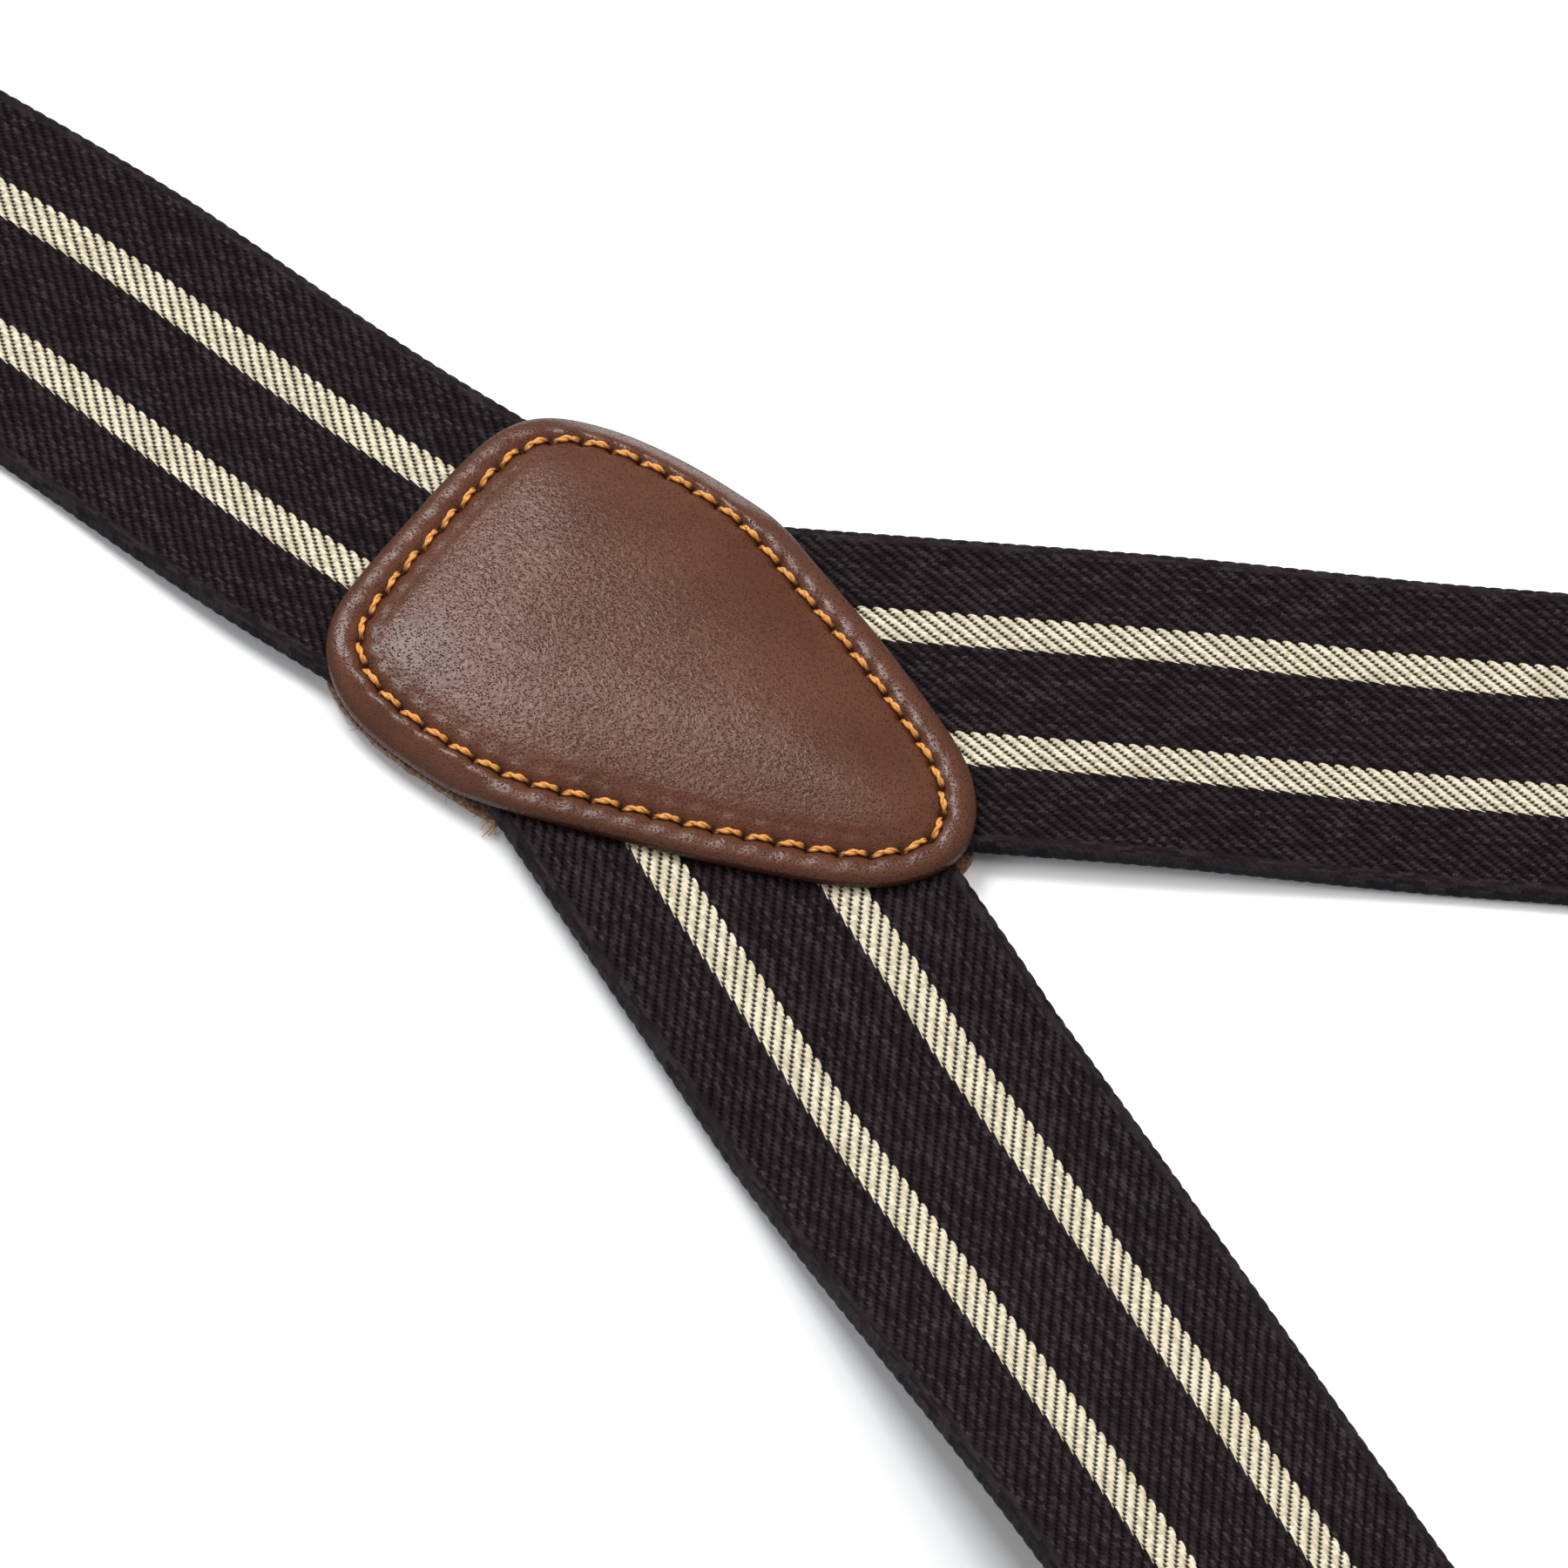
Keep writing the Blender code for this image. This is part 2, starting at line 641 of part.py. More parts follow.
def build_ring(name, x, y, direction):
    """A rectangular wire ring lying flat, between a strap's turn and a tab's eye."""
    half_y = STRAP_WIDTH / 2 + RING_SIDE_CLEARANCE + RING_WIRE / 2
    corner = 2.6 * MM
    corners = (
        (RING_PITCH - corner, half_y - corner, 0), (corner, half_y - corner, 90),
        (corner, -half_y + corner, 180), (RING_PITCH - corner, -half_y + corner, 270),
    )
    path = []
    for cx, cy, first in corners:
        for px, py in arc(cx, cy, corner, first, first + 90, 4):
            path.append((px, py))
    sections = []
    count = len(path)
    for i, (px, py) in enumerate(path):
        ax, ay = path[i - 1]
        bx, by = path[(i + 1) % count]
        along = Vector((bx - ax, by - ay, 0)).normalized()
        side = Vector((along.y, -along.x, 0))
        ring = []
        for j in range(10):
            turn = 2 * math.pi * j / 10
            off = side * math.cos(turn) + Vector((0, 0, math.sin(turn)))
            spot = Vector((px, py, AXIS_HIGH)) + off * RING_WIRE / 2
            ring.append((x + direction * spot.x, y + spot.y, spot.z))
        sections.append(ring)
    bm = bmesh.new()
    loft(bm, sections, closed=True)
    round_shade(add_mesh(name, bm, NICKEL))


def build_tab(prefix, x, y, direction):
    """A leather strip closed round the ring and the clip, glued and sewn between its two eyes."""
    eye = EYE_RADIUS
    thin = 2 * TAB_LEATHER
    top = [(eye * 0.80, AXIS_HIGH + eye * 0.60), (eye * 1.10, AXIS_HIGH + eye * 0.22)]
    top += [(eye * 1.55, thin + 1.2 * MM), (eye * 2.1, thin)]
    half = arc(0, AXIS_HIGH, eye, 37, 270, 20)
    left = [(px, pz) for px, pz in reversed(top)] + half
    right = [(TAB_REACH - px, pz) for px, pz in reversed(left)]
    loop = left + right
    outline = [(x + direction * px, pz) for px, pz in loop]
    holes = []
    for hx in (0.0, TAB_REACH):
        holes.append([(x + direction * px, pz) for px, pz in circle(hx, AXIS_HIGH, eye - TAB_LEATHER, 24)])
    side_profile(prefix + "_tab", outline, holes, TAB_WIDTH, y, LEATHER)
    off = TAB_WIDTH / 2 - 2.4 * MM
    near = eye * 2.1
    far = TAB_REACH - near
    route = [(near, -off), (far, -off), (far, off), (near, off)]
    route = [(x + direction * px, y + py) for px, py in route]
    sewn_thread(prefix + "_tab_stitching", route, thin + 0.15 * MM, STITCH_PITCH, THREAD)


def build_clip(prefix, x, y, direction):
    """A lever clip: stamped base, grip pad, pivot pin, and a lever with its own grip pad."""

    def along(points):
        return [(x + direction * px, pz) for px, pz in points]

    half_body = LEVER_WIDTH / 2 + GAP + EAR_THICK
    end = CLIP_REACH
    plate = CLIP_PLATE
    outline = along([
        (0.0, AXIS_HIGH - 0.7 * MM), (0.0, AXIS_HIGH + 0.6 * MM), (1.2 * MM, AXIS_HIGH + 0.3 * MM),
        (8.2 * MM, plate), (end - 1.0 * MM, plate), (end - 1.0 * MM, plate + 2.4 * MM),
        (end, plate + 2.4 * MM), (end, 0.0), (7.8 * MM, 0.0), (0.8 * MM, AXIS_HIGH - 0.9 * MM),
    ])
    base = side_profile(prefix + "_clip_base", outline, [], CLIP_HEAD_WIDTH, y, NICKEL)
    bm = bmesh.new()
    rod(bm, (x, y, AXIS_HIGH), RING_WIRE / 2, CLIP_HEAD_WIDTH + 0.6 * MM)
    combine(base, "UNION", cutter(prefix + "_clip_bar", bm))
    slot_half = TAB_WIDTH / 2 + 0.6 * MM
    bm = bmesh.new()
    lo, hi = sorted((x + direction * 1.9 * MM, x + direction * 6.9 * MM))
    box(bm, (lo, y - slot_half, -1 * MM), (hi, y + slot_half, AXIS_HIGH + 3 * MM))
    combine(base, "DIFFERENCE", cutter(prefix + "_clip_slot", bm))
    for end_side in (-1, 1):
        bm = bmesh.new()
        lo, hi = sorted((x + direction * 12 * MM, x + direction * (end + 2 * MM)))
        near, off = sorted((y + end_side * half_body, y + end_side * (CLIP_HEAD_WIDTH / 2 + 3 * MM)))
        box(bm, (lo, near, -1 * MM), (hi, off, plate + 4 * MM))
        combine(base, "DIFFERENCE", cutter(f"{prefix}_clip_waist_{end_side + 1}", bm))
    for end_side in (-1, 1):
        bm = bmesh.new()
        lo, hi = sorted((x + direction * (PIVOT_X - 4 * MM), x + direction * (PIVOT_X + 4 * MM)))
        near, off = sorted((y + end_side * (half_body - EAR_THICK), y + end_side * (half_body - 0.05 * MM)))
        box(bm, (lo, near, 0.2 * MM), (hi, off, PIVOT_Z + 2.2 * MM))
        combine(base, "UNION", cutter(f"{prefix}_clip_ear_{end_side + 1}", bm))
    bm = bmesh.new()
    rod(bm, (x + direction * PIVOT_X, y, PIVOT_Z), PIVOT_PIN / 2 + GAP, 2 * half_body + 4 * MM)
    combine(base, "DIFFERENCE", cutter(prefix + "_clip_pin_hole", bm))

    bm = bmesh.new()
    rod(bm, (x + direction * PIVOT_X, y, PIVOT_Z), PIVOT_PIN / 2, 2 * half_body + 1.0 * MM)
    round_shade(add_mesh(prefix + "_clip_pin", bm, NICKEL))

    bm = bmesh.new()
    lo, hi = sorted((x + direction * (PIVOT_X - 6 * MM), x + direction * (end - 1.0 * MM - GAP)))
    box(bm, (lo, y - 10 * MM, PAD_LOW), (hi, y + 10 * MM, PAD_HIGH))
    add_mesh(prefix + "_clip_pad", bm, GRIP)

    tip = -LEVER_REACH / MM
    body = [
        (tip, 1.3), (tip + 1.6, 2.5), (-12.0, 3.3), (0.0, 3.0), (1.8, 2.4), (2.7, 0.6),
        (2.5, -1.2), (1.5, -2.1), (-1.5, -2.1), (-2.4, -1.0), (-2.6, 0.8), (-3.8, 1.9),
        (-12.0, 2.3), (tip + 2.2, 1.5), (tip + 0.8, 0.6),
    ]
    scaled = [(PIVOT_X + px * MM, PIVOT_Z + pz * MM) for px, pz in body]
    hole = along(circle(PIVOT_X, PIVOT_Z, PIVOT_PIN / 2 + GAP, 20))
    side_profile(prefix + "_clip_lever", along(scaled), [hole], LEVER_WIDTH, y, NICKEL)

    bm = bmesh.new()
    lo, hi = sorted((x + direction * (PIVOT_X - 1.3 * MM), x + direction * (PIVOT_X + 1.3 * MM)))
    box(bm, (lo, y - 10 * MM, PIVOT_Z - 3.4 * MM), (hi, y + 10 * MM, PIVOT_Z - 2.1 * MM - GAP))
    add_mesh(prefix + "_lever_pad", bm, GRIP)


def build_end(prefix, ring_x, y, direction):
    """Ring, tab and clip at the end of a strap, each hung on the axis it swings about."""
    tab_x = ring_x + direction * RING_PITCH
    clip_x = tab_x + direction * TAB_REACH
    build_ring(prefix + "_ring", ring_x, y, direction)
    build_tab(prefix, tab_x, y, direction)
    build_clip(prefix, clip_x, y, direction)
    hang_on([prefix + "_ring"], (ring_x, y, AXIS_HIGH))
    hang_on([prefix + "_tab", prefix + "_tab_stitching"], (tab_x, y, AXIS_HIGH))
    clip_pieces = [prefix + "_clip_base", prefix + "_clip_pad", prefix + "_clip_pin"]
    hang_on(clip_pieces, (clip_x, y, AXIS_HIGH))
    hang_on([prefix + "_clip_lever", prefix + "_lever_pad"], (clip_x + direction * PIVOT_X, y, PIVOT_Z))


build_patch()
build_back_strap()
build_end("back", PATCH_X - BACK_REACH, 0.0, -1)
for side_name, lay in LAYS.items():
    front_strap(side_name + "_front_strap", lay)
    build_return_run(side_name, lay)
    build_adjuster(side_name, lay)
    build_end(side_name, PATCH_X + FRONT_REACH, lay.side * LAY_HALF_WIDTH, 1)
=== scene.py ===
"""Y-back suspenders: webbing, leather patch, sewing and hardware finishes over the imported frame.

+X runs from the back clip to the front clips, +Y is the wearer's left and +Z is up. Lengths in metres,
except where a name ends in mm.
"""

import json
import math

import bpy
import bmesh
import numpy as np
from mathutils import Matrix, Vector

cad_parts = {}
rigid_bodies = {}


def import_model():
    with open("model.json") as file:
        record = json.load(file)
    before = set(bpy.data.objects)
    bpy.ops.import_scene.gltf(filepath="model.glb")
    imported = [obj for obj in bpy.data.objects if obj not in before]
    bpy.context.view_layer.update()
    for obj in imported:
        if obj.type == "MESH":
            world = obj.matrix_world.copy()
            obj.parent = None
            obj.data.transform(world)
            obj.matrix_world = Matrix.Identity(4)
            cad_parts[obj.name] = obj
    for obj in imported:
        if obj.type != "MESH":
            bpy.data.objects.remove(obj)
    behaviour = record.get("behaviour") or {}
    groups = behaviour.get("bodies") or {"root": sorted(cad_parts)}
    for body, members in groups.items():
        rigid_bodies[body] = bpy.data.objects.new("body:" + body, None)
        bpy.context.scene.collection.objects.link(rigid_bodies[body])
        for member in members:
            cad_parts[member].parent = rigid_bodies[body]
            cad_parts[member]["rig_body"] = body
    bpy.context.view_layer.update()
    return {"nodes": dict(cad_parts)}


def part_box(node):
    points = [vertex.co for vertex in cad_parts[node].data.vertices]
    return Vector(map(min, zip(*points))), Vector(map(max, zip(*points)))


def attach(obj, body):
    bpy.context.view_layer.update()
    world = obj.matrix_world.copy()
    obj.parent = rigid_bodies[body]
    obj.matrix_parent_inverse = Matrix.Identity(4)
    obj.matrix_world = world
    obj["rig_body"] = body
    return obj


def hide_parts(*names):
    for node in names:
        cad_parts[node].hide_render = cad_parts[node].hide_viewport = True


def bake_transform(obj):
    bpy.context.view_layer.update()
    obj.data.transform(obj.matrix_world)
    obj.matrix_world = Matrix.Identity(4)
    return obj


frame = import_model()

MM = 0.001
PRODUCT = bpy.data.collections.new("suspenders")
bpy.context.scene.collection.children.link(PRODUCT)

# Webbing.
STRAP_WIDTH = 35.0 * MM
STRAP_THICK = 2.0 * MM
STRAP_ROUND = 0.75 * MM
RIB_RELIEF = 0.20 * MM
BACK_RIB_MM = 1.48
LEFT_RIB_MM = 1.50
RIGHT_RIB_MM = 1.78
WARP_MM = 0.307
STRIPE_MM = 6.73
STRIPE_HALF_MM = 1.75

# Patch, seen from above: distance along X from its middle, then half width.
GAP = 0.3 * MM
LINING_THICK = 1.0 * MM
LEATHER_THICK = 1.2 * MM
PATCH_DOME = 1.8 * MM
PATCH_TAIL = 30.8 * MM
PATCH_HALF_PROFILE = (
    (-30.8, 0.0), (-30.8, 5.0), (-30.6, 10.0), (-30.0, 13.6), (-28.2, 16.8), (-25.2, 19.2),
    (-21.4, 20.7), (-17.0, 21.4), (-12.0, 21.7), (-8.0, 21.6), (-4.5, 21.2), (-1.0, 20.2),
    (3.0, 18.8), (8.0, 17.1), (13.0, 15.4), (18.0, 13.4), (23.0, 11.3), (27.0, 9.4),
    (30.2, 7.2), (32.6, 4.4), (33.8, 1.6),
)
PATCH_NOSE = 33.9 * MM
STITCH_INSET = 3.1 * MM
PATCH_STITCHES = 52
STITCH_PITCH = 3.0 * MM
TACK_PITCH = 2.4 * MM

# Lay of the straps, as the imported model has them.
FRONT_REACH = 590.0 * MM
LAY_HALF_WIDTH = 100.0 * MM
OUTER_LOW = 6.7 * MM
TURN_RADIUS = OUTER_LOW / 2
AXIS_HIGH = TURN_RADIUS + STRAP_THICK / 2
FOLD_LOW = 3.8 * MM
ADJUST_SETTING = 110.0 * MM
FOLD_LENGTH = 16.0 * MM
RING_WIRE = 3.0 * MM
RIGHT_BANK = math.radians(12.0)

PATCH_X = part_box("patch_lining")[0].x + PATCH_TAIL
BACK_RING_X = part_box("back_ring")[1].x - RING_WIRE / 2
FRONT_RING_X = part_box("left_ring")[0].x + RING_WIRE / 2


# Surround of the studio, as a brightness.
SURROUND = 0.36


# ---------------------------------------------------------------- node helpers


def put(tree, kind, inputs=None, **settings):
    """Adds a node, sets its options and fills or links its sockets."""
    made = tree.nodes.new(kind)
    for key, value in settings.items():
        setattr(made, key, value)
    for key, value in (inputs or {}).items():
        if isinstance(value, bpy.types.NodeSocket):
            tree.links.new(value, made.inputs[key])
        else:
            made.inputs[key].default_value = value
    return made


def calc(tree, operation, *values):
    """One Math node."""
    return put(tree, "ShaderNodeMath", dict(enumerate(values)), operation=operation).outputs[0]


def ramp(tree, value, low, high, to_low=0.0, to_high=1.0, kind="SMOOTHSTEP"):
    """A value eased from one range into another."""
    levels = {"Value": value, "From Min": low, "From Max": high, "To Min": to_low, "To Max": to_high}
    return put(tree, "ShaderNodeMapRange", levels, interpolation_type=kind).outputs["Result"]


def tint(tree, share, first, second):
    """Two colours mixed by a share."""
    mix = put(tree, "ShaderNodeMix", {0: share}, data_type="RGBA")
    for key, value in ((6, first), (7, second)):
        if isinstance(value, bpy.types.NodeSocket):
            tree.links.new(value, mix.inputs[key])
        else:
            mix.inputs[key].default_value = (*value, 1.0)
    return mix.outputs[2]


def grain_noise(tree, where, scale, detail=2.0, roughness=0.5):
    """Noise between 0 and 1."""
    levels = {"Vector": where, "Scale": scale, "Detail": detail, "Roughness": roughness}
    return put(tree, "ShaderNodeTexNoise", levels).outputs["Fac"]


def stretched(tree, where, factors):
    """Coordinates scaled unequally."""
    return put(tree, "ShaderNodeMapping", {"Vector": where, "Scale": factors}).outputs["Vector"]


def new_group(name, inputs, outputs):
    """An empty shader group with named sockets, and its two end nodes."""
    made = bpy.data.node_groups.new(name, "ShaderNodeTree")
    for label, kind in inputs:
        made.interface.new_socket(name=label, in_out="INPUT", socket_type=kind)
    for label, kind in outputs:
        made.interface.new_socket(name=label, in_out="OUTPUT", socket_type=kind)
    return made, made.nodes.new("NodeGroupInput"), made.nodes.new("NodeGroupOutput")


def new_finish(name):
    """A material, its tree and its shader."""
    made = bpy.data.materials.new(name)
    made.use_nodes = True
    return made, made.node_tree, made.node_tree.nodes["Principled BSDF"]


def raise_surface(tree, shader, height, distance):
    """Feeds a height to the shader's normal."""
    bump = put(tree, "ShaderNodeBump", {"Height": height, "Distance": distance})
    tree.links.new(bump.outputs["Normal"], shader.inputs["Normal"])


def in_millimetres(tree):
    """The piece's own coordinates, in millimetres."""
    return stretched(tree, put(tree, "ShaderNodeTexCoord").outputs["Object"], (1 / MM, 1 / MM, 1 / MM))


def set_levels(shader, **levels):
    """Plain numbers and colours on the shader's own sockets."""
    for name, value in levels.items():
        shader.inputs[name.replace("_", " ")].default_value = value


# ---------------------------------------------------------------- effects shared between finishes


def webbing_weave():
    """Diagonal cords of interlaced warp floats, from the run along the strap and the place across it."""
    group, start, end = new_group(
        "webbing_weave",
        [("Run", "NodeSocketVector"), ("Rib", "NodeSocketFloat")],
        [
            ("Height", "NodeSocketFloat"), ("Gap Shade", "NodeSocketFloat"), ("Stripe", "NodeSocketFloat"),
            ("Shade", "NodeSocketFloat"), ("Selvedge", "NodeSocketFloat"),
        ],
    )
    parts = put(group, "ShaderNodeSeparateXYZ", {"Vector": start.outputs["Run"]})
    along, across = parts.outputs["X"], parts.outputs["Y"]
    rib = start.outputs["Rib"]
    ribs_run = calc(group, "DIVIDE", along, rib)

    turns = calc(group, "MULTIPLY_ADD", across, 0.25 / WARP_MM, ribs_run)
    phase = calc(group, "FRACT", turns)
    swing = calc(group, "ABSOLUTE", calc(group, "MULTIPLY_ADD", phase, 2.0, -1.0))
    cord = calc(group, "SUBTRACT", 1.0, calc(group, "POWER", swing, 2.2))

    column = calc(group, "ROUND", calc(group, "DIVIDE", across, WARP_MM))
    aside = calc(group, "MULTIPLY_ADD", column, -WARP_MM, across)
    share = calc(group, "MULTIPLY_ADD", column, 0.25, ribs_run)
    float_number = calc(group, "ROUND", share)
    run_off = calc(group, "MULTIPLY", calc(group, "SUBTRACT", share, float_number), rib)
    leaned = calc(group, "MULTIPLY_ADD", aside, -0.45, run_off)
    near_run = calc(group, "POWER", calc(group, "ABSOLUTE", calc(group, "DIVIDE", leaned, 0.21)), 2.6)
    tick = calc(group, "EXPONENT", calc(group, "MULTIPLY", near_run, -1.0))
    rounded = calc(group, "POWER", calc(group, "ABSOLUTE", calc(group, "DIVIDE", aside, WARP_MM / 2)), 2.5)
    tick = calc(group, "MULTIPLY", tick, calc(group, "MULTIPLY_ADD", rounded, -0.45, 1.0))

    fuzz = grain_noise(group, stretched(group, start.outputs["Run"], (4.0, 9.0, 1.0)), 1.6, 3.0, 0.65)
    body = calc(group, "MULTIPLY_ADD", rounded, -0.16, calc(group, "MULTIPLY", cord, 0.60))
    body = calc(group, "MULTIPLY_ADD", tick, -0.75, body)
    ribbed = calc(group, "MULTIPLY_ADD", fuzz, 0.30, body)

    edge = calc(group, "ABSOLUTE", across)
    selvedge = ramp(group, edge, 15.9, 16.5)
    fine = calc(group, "SINE", calc(group, "MULTIPLY", turns, 2 * math.pi * 2))
    plain = calc(group, "MULTIPLY_ADD", fine, 0.10, calc(group, "MULTIPLY_ADD", fuzz, 0.40, 0.25))
    mixed = put(group, "ShaderNodeMix", {0: selvedge, 2: ribbed, 3: plain}, data_type="FLOAT")
    group.links.new(mixed.outputs[0], end.inputs["Height"])
    group.links.new(selvedge, end.inputs["Selvedge"])

    # Painted shade: colour darkened in the grooves between cords and in the gaps at the float ends, less on the
    # selvedge.
    groove = ramp(group, cord, 0.0, 0.60, 1.0, 0.0)
    gap_shade = calc(group, "MAXIMUM", calc(group, "MULTIPLY", groove, 0.72), ramp(group, tick, 0.12, 0.62))
    calm = calc(group, "SUBTRACT", 1.0, calc(group, "MULTIPLY", selvedge, 0.75))
    group.links.new(calc(group, "MULTIPLY", gap_shade, calm), end.inputs["Gap Shade"])

    side = calc(group, "SIGN", across)
    local = calc(group, "MULTIPLY_ADD", side, -STRIPE_MM, across)
    hump = calc(group, "SQRT", calc(group, "SUBTRACT", 1.0, calc(group, "POWER", swing, 2.0)))
    top = calc(group, "MULTIPLY_ADD", hump, 0.60, STRIPE_HALF_MM - 0.40)
    low = calc(group, "MULTIPLY_ADD", phase, -0.38, 0.19 - STRIPE_HALF_MM)
    under_top = ramp(group, calc(group, "SUBTRACT", top, local), -0.03, 0.05)
    over_low = ramp(group, calc(group, "SUBTRACT", local, low), -0.03, 0.05)
    group.links.new(calc(group, "MULTIPLY", under_top, over_low), end.inputs["Stripe"])

    spot = put(group, "ShaderNodeCombineXYZ", {"X": float_number, "Y": column}).outputs[0]
    each = put(group, "ShaderNodeTexWhiteNoise", {"Vector": spot}, noise_dimensions="2D").outputs["Value"]
    group.links.new(calc(group, "MULTIPLY_ADD", fuzz, 0.7, calc(group, "MULTIPLY", each, 0.3)), end.inputs["Shade"])
    return group


def hide_grain():
    """Fine pebbled grain with small sunk pores, and slow changes of tone, in millimetres."""
    group, start, end = new_group(
        "hide_grain",
        [("Place", "NodeSocketVector"), ("Size", "NodeSocketFloat")],
        [("Height", "NodeSocketFloat"), ("Pore", "NodeSocketFloat"), ("Tone", "NodeSocketFloat")],
    )
    where = put(group, "ShaderNodeVectorMath", {0: start.outputs["Place"], 1: (1, 1, 1)}, operation="MULTIPLY")
    group.links.new(start.outputs["Size"], where.inputs[1])
    drift = put(group, "ShaderNodeTexNoise", {"Vector": where.outputs[0], "Scale": 0.30, "Detail": 1.0})
    pull = put(group, "ShaderNodeVectorMath", {0: drift.outputs["Color"], 1: (1.6, 1.6, 0.0)}, operation="MULTIPLY")
    bent = put(group, "ShaderNodeVectorMath", {0: where.outputs[0], 1: pull.outputs[0]}, operation="ADD").outputs[0]
    turned = put(
        group, "ShaderNodeMapping",
        {"Vector": bent, "Rotation": (0, 0, math.radians(-52)), "Scale": (1.0, 1.35, 1.0)},
    ).outputs["Vector"]
    pebbles = put(
        group, "ShaderNodeTexVoronoi",
        {"Vector": turned, "Scale": 3.1, "Smoothness": 0.15, "Randomness": 0.9}, feature="SMOOTH_F1",
    ).outputs["Distance"]
    wrinkle = grain_noise(group, turned, 1.6, 2.0, 0.55)
    wander = calc(group, "MULTIPLY_ADD", grain_noise(group, turned, 3.1, 1.0), 0.35, pebbles)
    sunk = ramp(group, wander, 0.34, 0.56, 1.0, 0.0)
    body = calc(group, "MULTIPLY_ADD", sunk, -1.0, calc(group, "MULTIPLY", wrinkle, 1.0))
    group.links.new(body, end.inputs["Height"])
    group.links.new(sunk, end.inputs["Pore"])
    group.links.new(grain_noise(group, where.outputs[0], 0.12, 3.0, 0.6), end.inputs["Tone"])
    return group


WEAVE = webbing_weave()
HIDE = hide_grain()


# ---------------------------------------------------------------- finishes


def webbing_finish(name, rib_mm):
    """Dark elastic webbing with two cream stripes."""
    made, tree, shader = new_finish(name)
    run = put(tree, "ShaderNodeUVMap", uv_map="run_mm").outputs["UV"]
    weave = tree.nodes.new("ShaderNodeGroup")
    weave.node_tree = WEAVE
    tree.links.new(run, weave.inputs["Run"])
    weave.inputs["Rib"].default_value = rib_mm
    shade = weave.outputs["Shade"]
    dark = tint(tree, ramp(tree, shade, 0.30, 0.75), (0.0072, 0.0044, 0.0052), (0.029, 0.0185, 0.0212))
    # Painted highlight: the lightest spots of the dark yarn brightened as fibre glints.
    glint = ramp(tree, shade, 0.60, 0.78)
    dark = tint(tree, calc(tree, "MULTIPLY", glint, 0.55), dark, (0.120, 0.100, 0.112))
    # Painted shade in the grooves and float gaps, on the dark yarn and on the cream stripes.
    dark = tint(tree, calc(tree, "MULTIPLY", weave.outputs["Gap Shade"], 0.88), dark, (0.0022, 0.0016, 0.0022))
    cream = tint(tree, ramp(tree, shade, 0.25, 0.75), (0.52, 0.45, 0.31), (0.86, 0.78, 0.60))
    cream = tint(tree, calc(tree, "MULTIPLY", weave.outputs["Gap Shade"], 0.95), cream, (0.012, 0.008, 0.006))
    bound = tint(tree, ramp(tree, shade, 0.3, 0.75), (0.009, 0.006, 0.0065), (0.032, 0.022, 0.024))
    body = tint(tree, weave.outputs["Stripe"], dark, cream)
    body = tint(tree, calc(tree, "MULTIPLY", weave.outputs["Selvedge"], 0.8), body, bound)
    # Painted shade: side faces and lower edge corners darkened towards dark blue, the upper corners a little.
    edge_shade = put(tree, "ShaderNodeAttribute", attribute_name="side_face_shade").outputs["Fac"]
    body = tint(tree, edge_shade, body, (0.0040, 0.0040, 0.0075))
    tree.links.new(body, shader.inputs["Base Color"])
    rough = ramp(tree, shade, 0.3, 0.8, 0.92, 0.62, "LINEAR")
    tree.links.new(rough, shader.inputs["Roughness"])
    set_levels(shader, Specular_IOR_Level=0.16)
    raise_surface(tree, shader, weave.outputs["Height"], 0.26 * MM)
    return made


def leather_finish(name, base, deep, pale, grain_size=1.0, attribute=True):
    """Semi-gloss dyed leather."""
    made, tree, shader = new_finish(name)
    where = in_millimetres(tree)
    hide = tree.nodes.new("ShaderNodeGroup")
    hide.node_tree = HIDE
    tree.links.new(where, hide.inputs["Place"])
    hide.inputs["Size"].default_value = grain_size
    tone = hide.outputs["Tone"]
    body = tint(tree, ramp(tree, tone, 0.30, 0.70), base, pale)
    # Painted shade: the sunk pores darkened towards the deep brown.
    body = tint(tree, calc(tree, "MULTIPLY", hide.outputs["Pore"], 0.60), body, deep)
    if attribute:
        # Darker over the rolled rim, the cut edge and the underside: partly a darker edge finish, partly painted
        # shade.
        edge_paint_and_shade = put(tree, "ShaderNodeAttribute", attribute_name="rim").outputs["Fac"]
        holes = put(tree, "ShaderNodeAttribute", attribute_name="needle_hole").outputs["Fac"]
        body = tint(tree, calc(tree, "MULTIPLY", edge_paint_and_shade, 0.55), body, deep)
        # Painted shade: the needle holes darkened almost to black.
        body = tint(tree, calc(tree, "MULTIPLY", holes, 0.92), body, (0.030, 0.008, 0.003))
    tree.links.new(body, shader.inputs["Base Color"])
    specks = grain_noise(tree, where, 5.5, 1.0)
    rough = ramp(tree, hide.outputs["Pore"], 0.0, 1.0, 0.33, 0.60, "LINEAR")
    rough = calc(tree, "MULTIPLY_ADD", ramp(tree, specks, 0.56, 0.70), -0.10, rough)
    tree.links.new(rough, shader.inputs["Roughness"])
    set_levels(shader, Specular_IOR_Level=0.36)
    raise_surface(tree, shader, hide.outputs["Height"], 0.055 * MM)
    return made


def raw_leather_finish():
    """Cut edge and flesh side: pale, fibrous and matt."""
    made, tree, shader = new_finish("raw_leather")
    where = in_millimetres(tree)
    fibres = grain_noise(tree, where, 2.6, 5.0, 0.7)
    patches = grain_noise(tree, where, 0.35, 2.0)
    body = tint(tree, ramp(tree, fibres, 0.35, 0.68), (0.060, 0.026, 0.014), (0.30, 0.185, 0.115))
    body = tint(tree, ramp(tree, patches, 0.45, 0.70, 0.0, 0.5), body, (0.13, 0.045, 0.020))
    tree.links.new(body, shader.inputs["Base Color"])
    tree.links.new(ramp(tree, fibres, 0.2, 0.8, 0.95, 0.75, "LINEAR"), shader.inputs["Roughness"])
    raise_surface(tree, shader, fibres, 0.18 * MM)
    return made


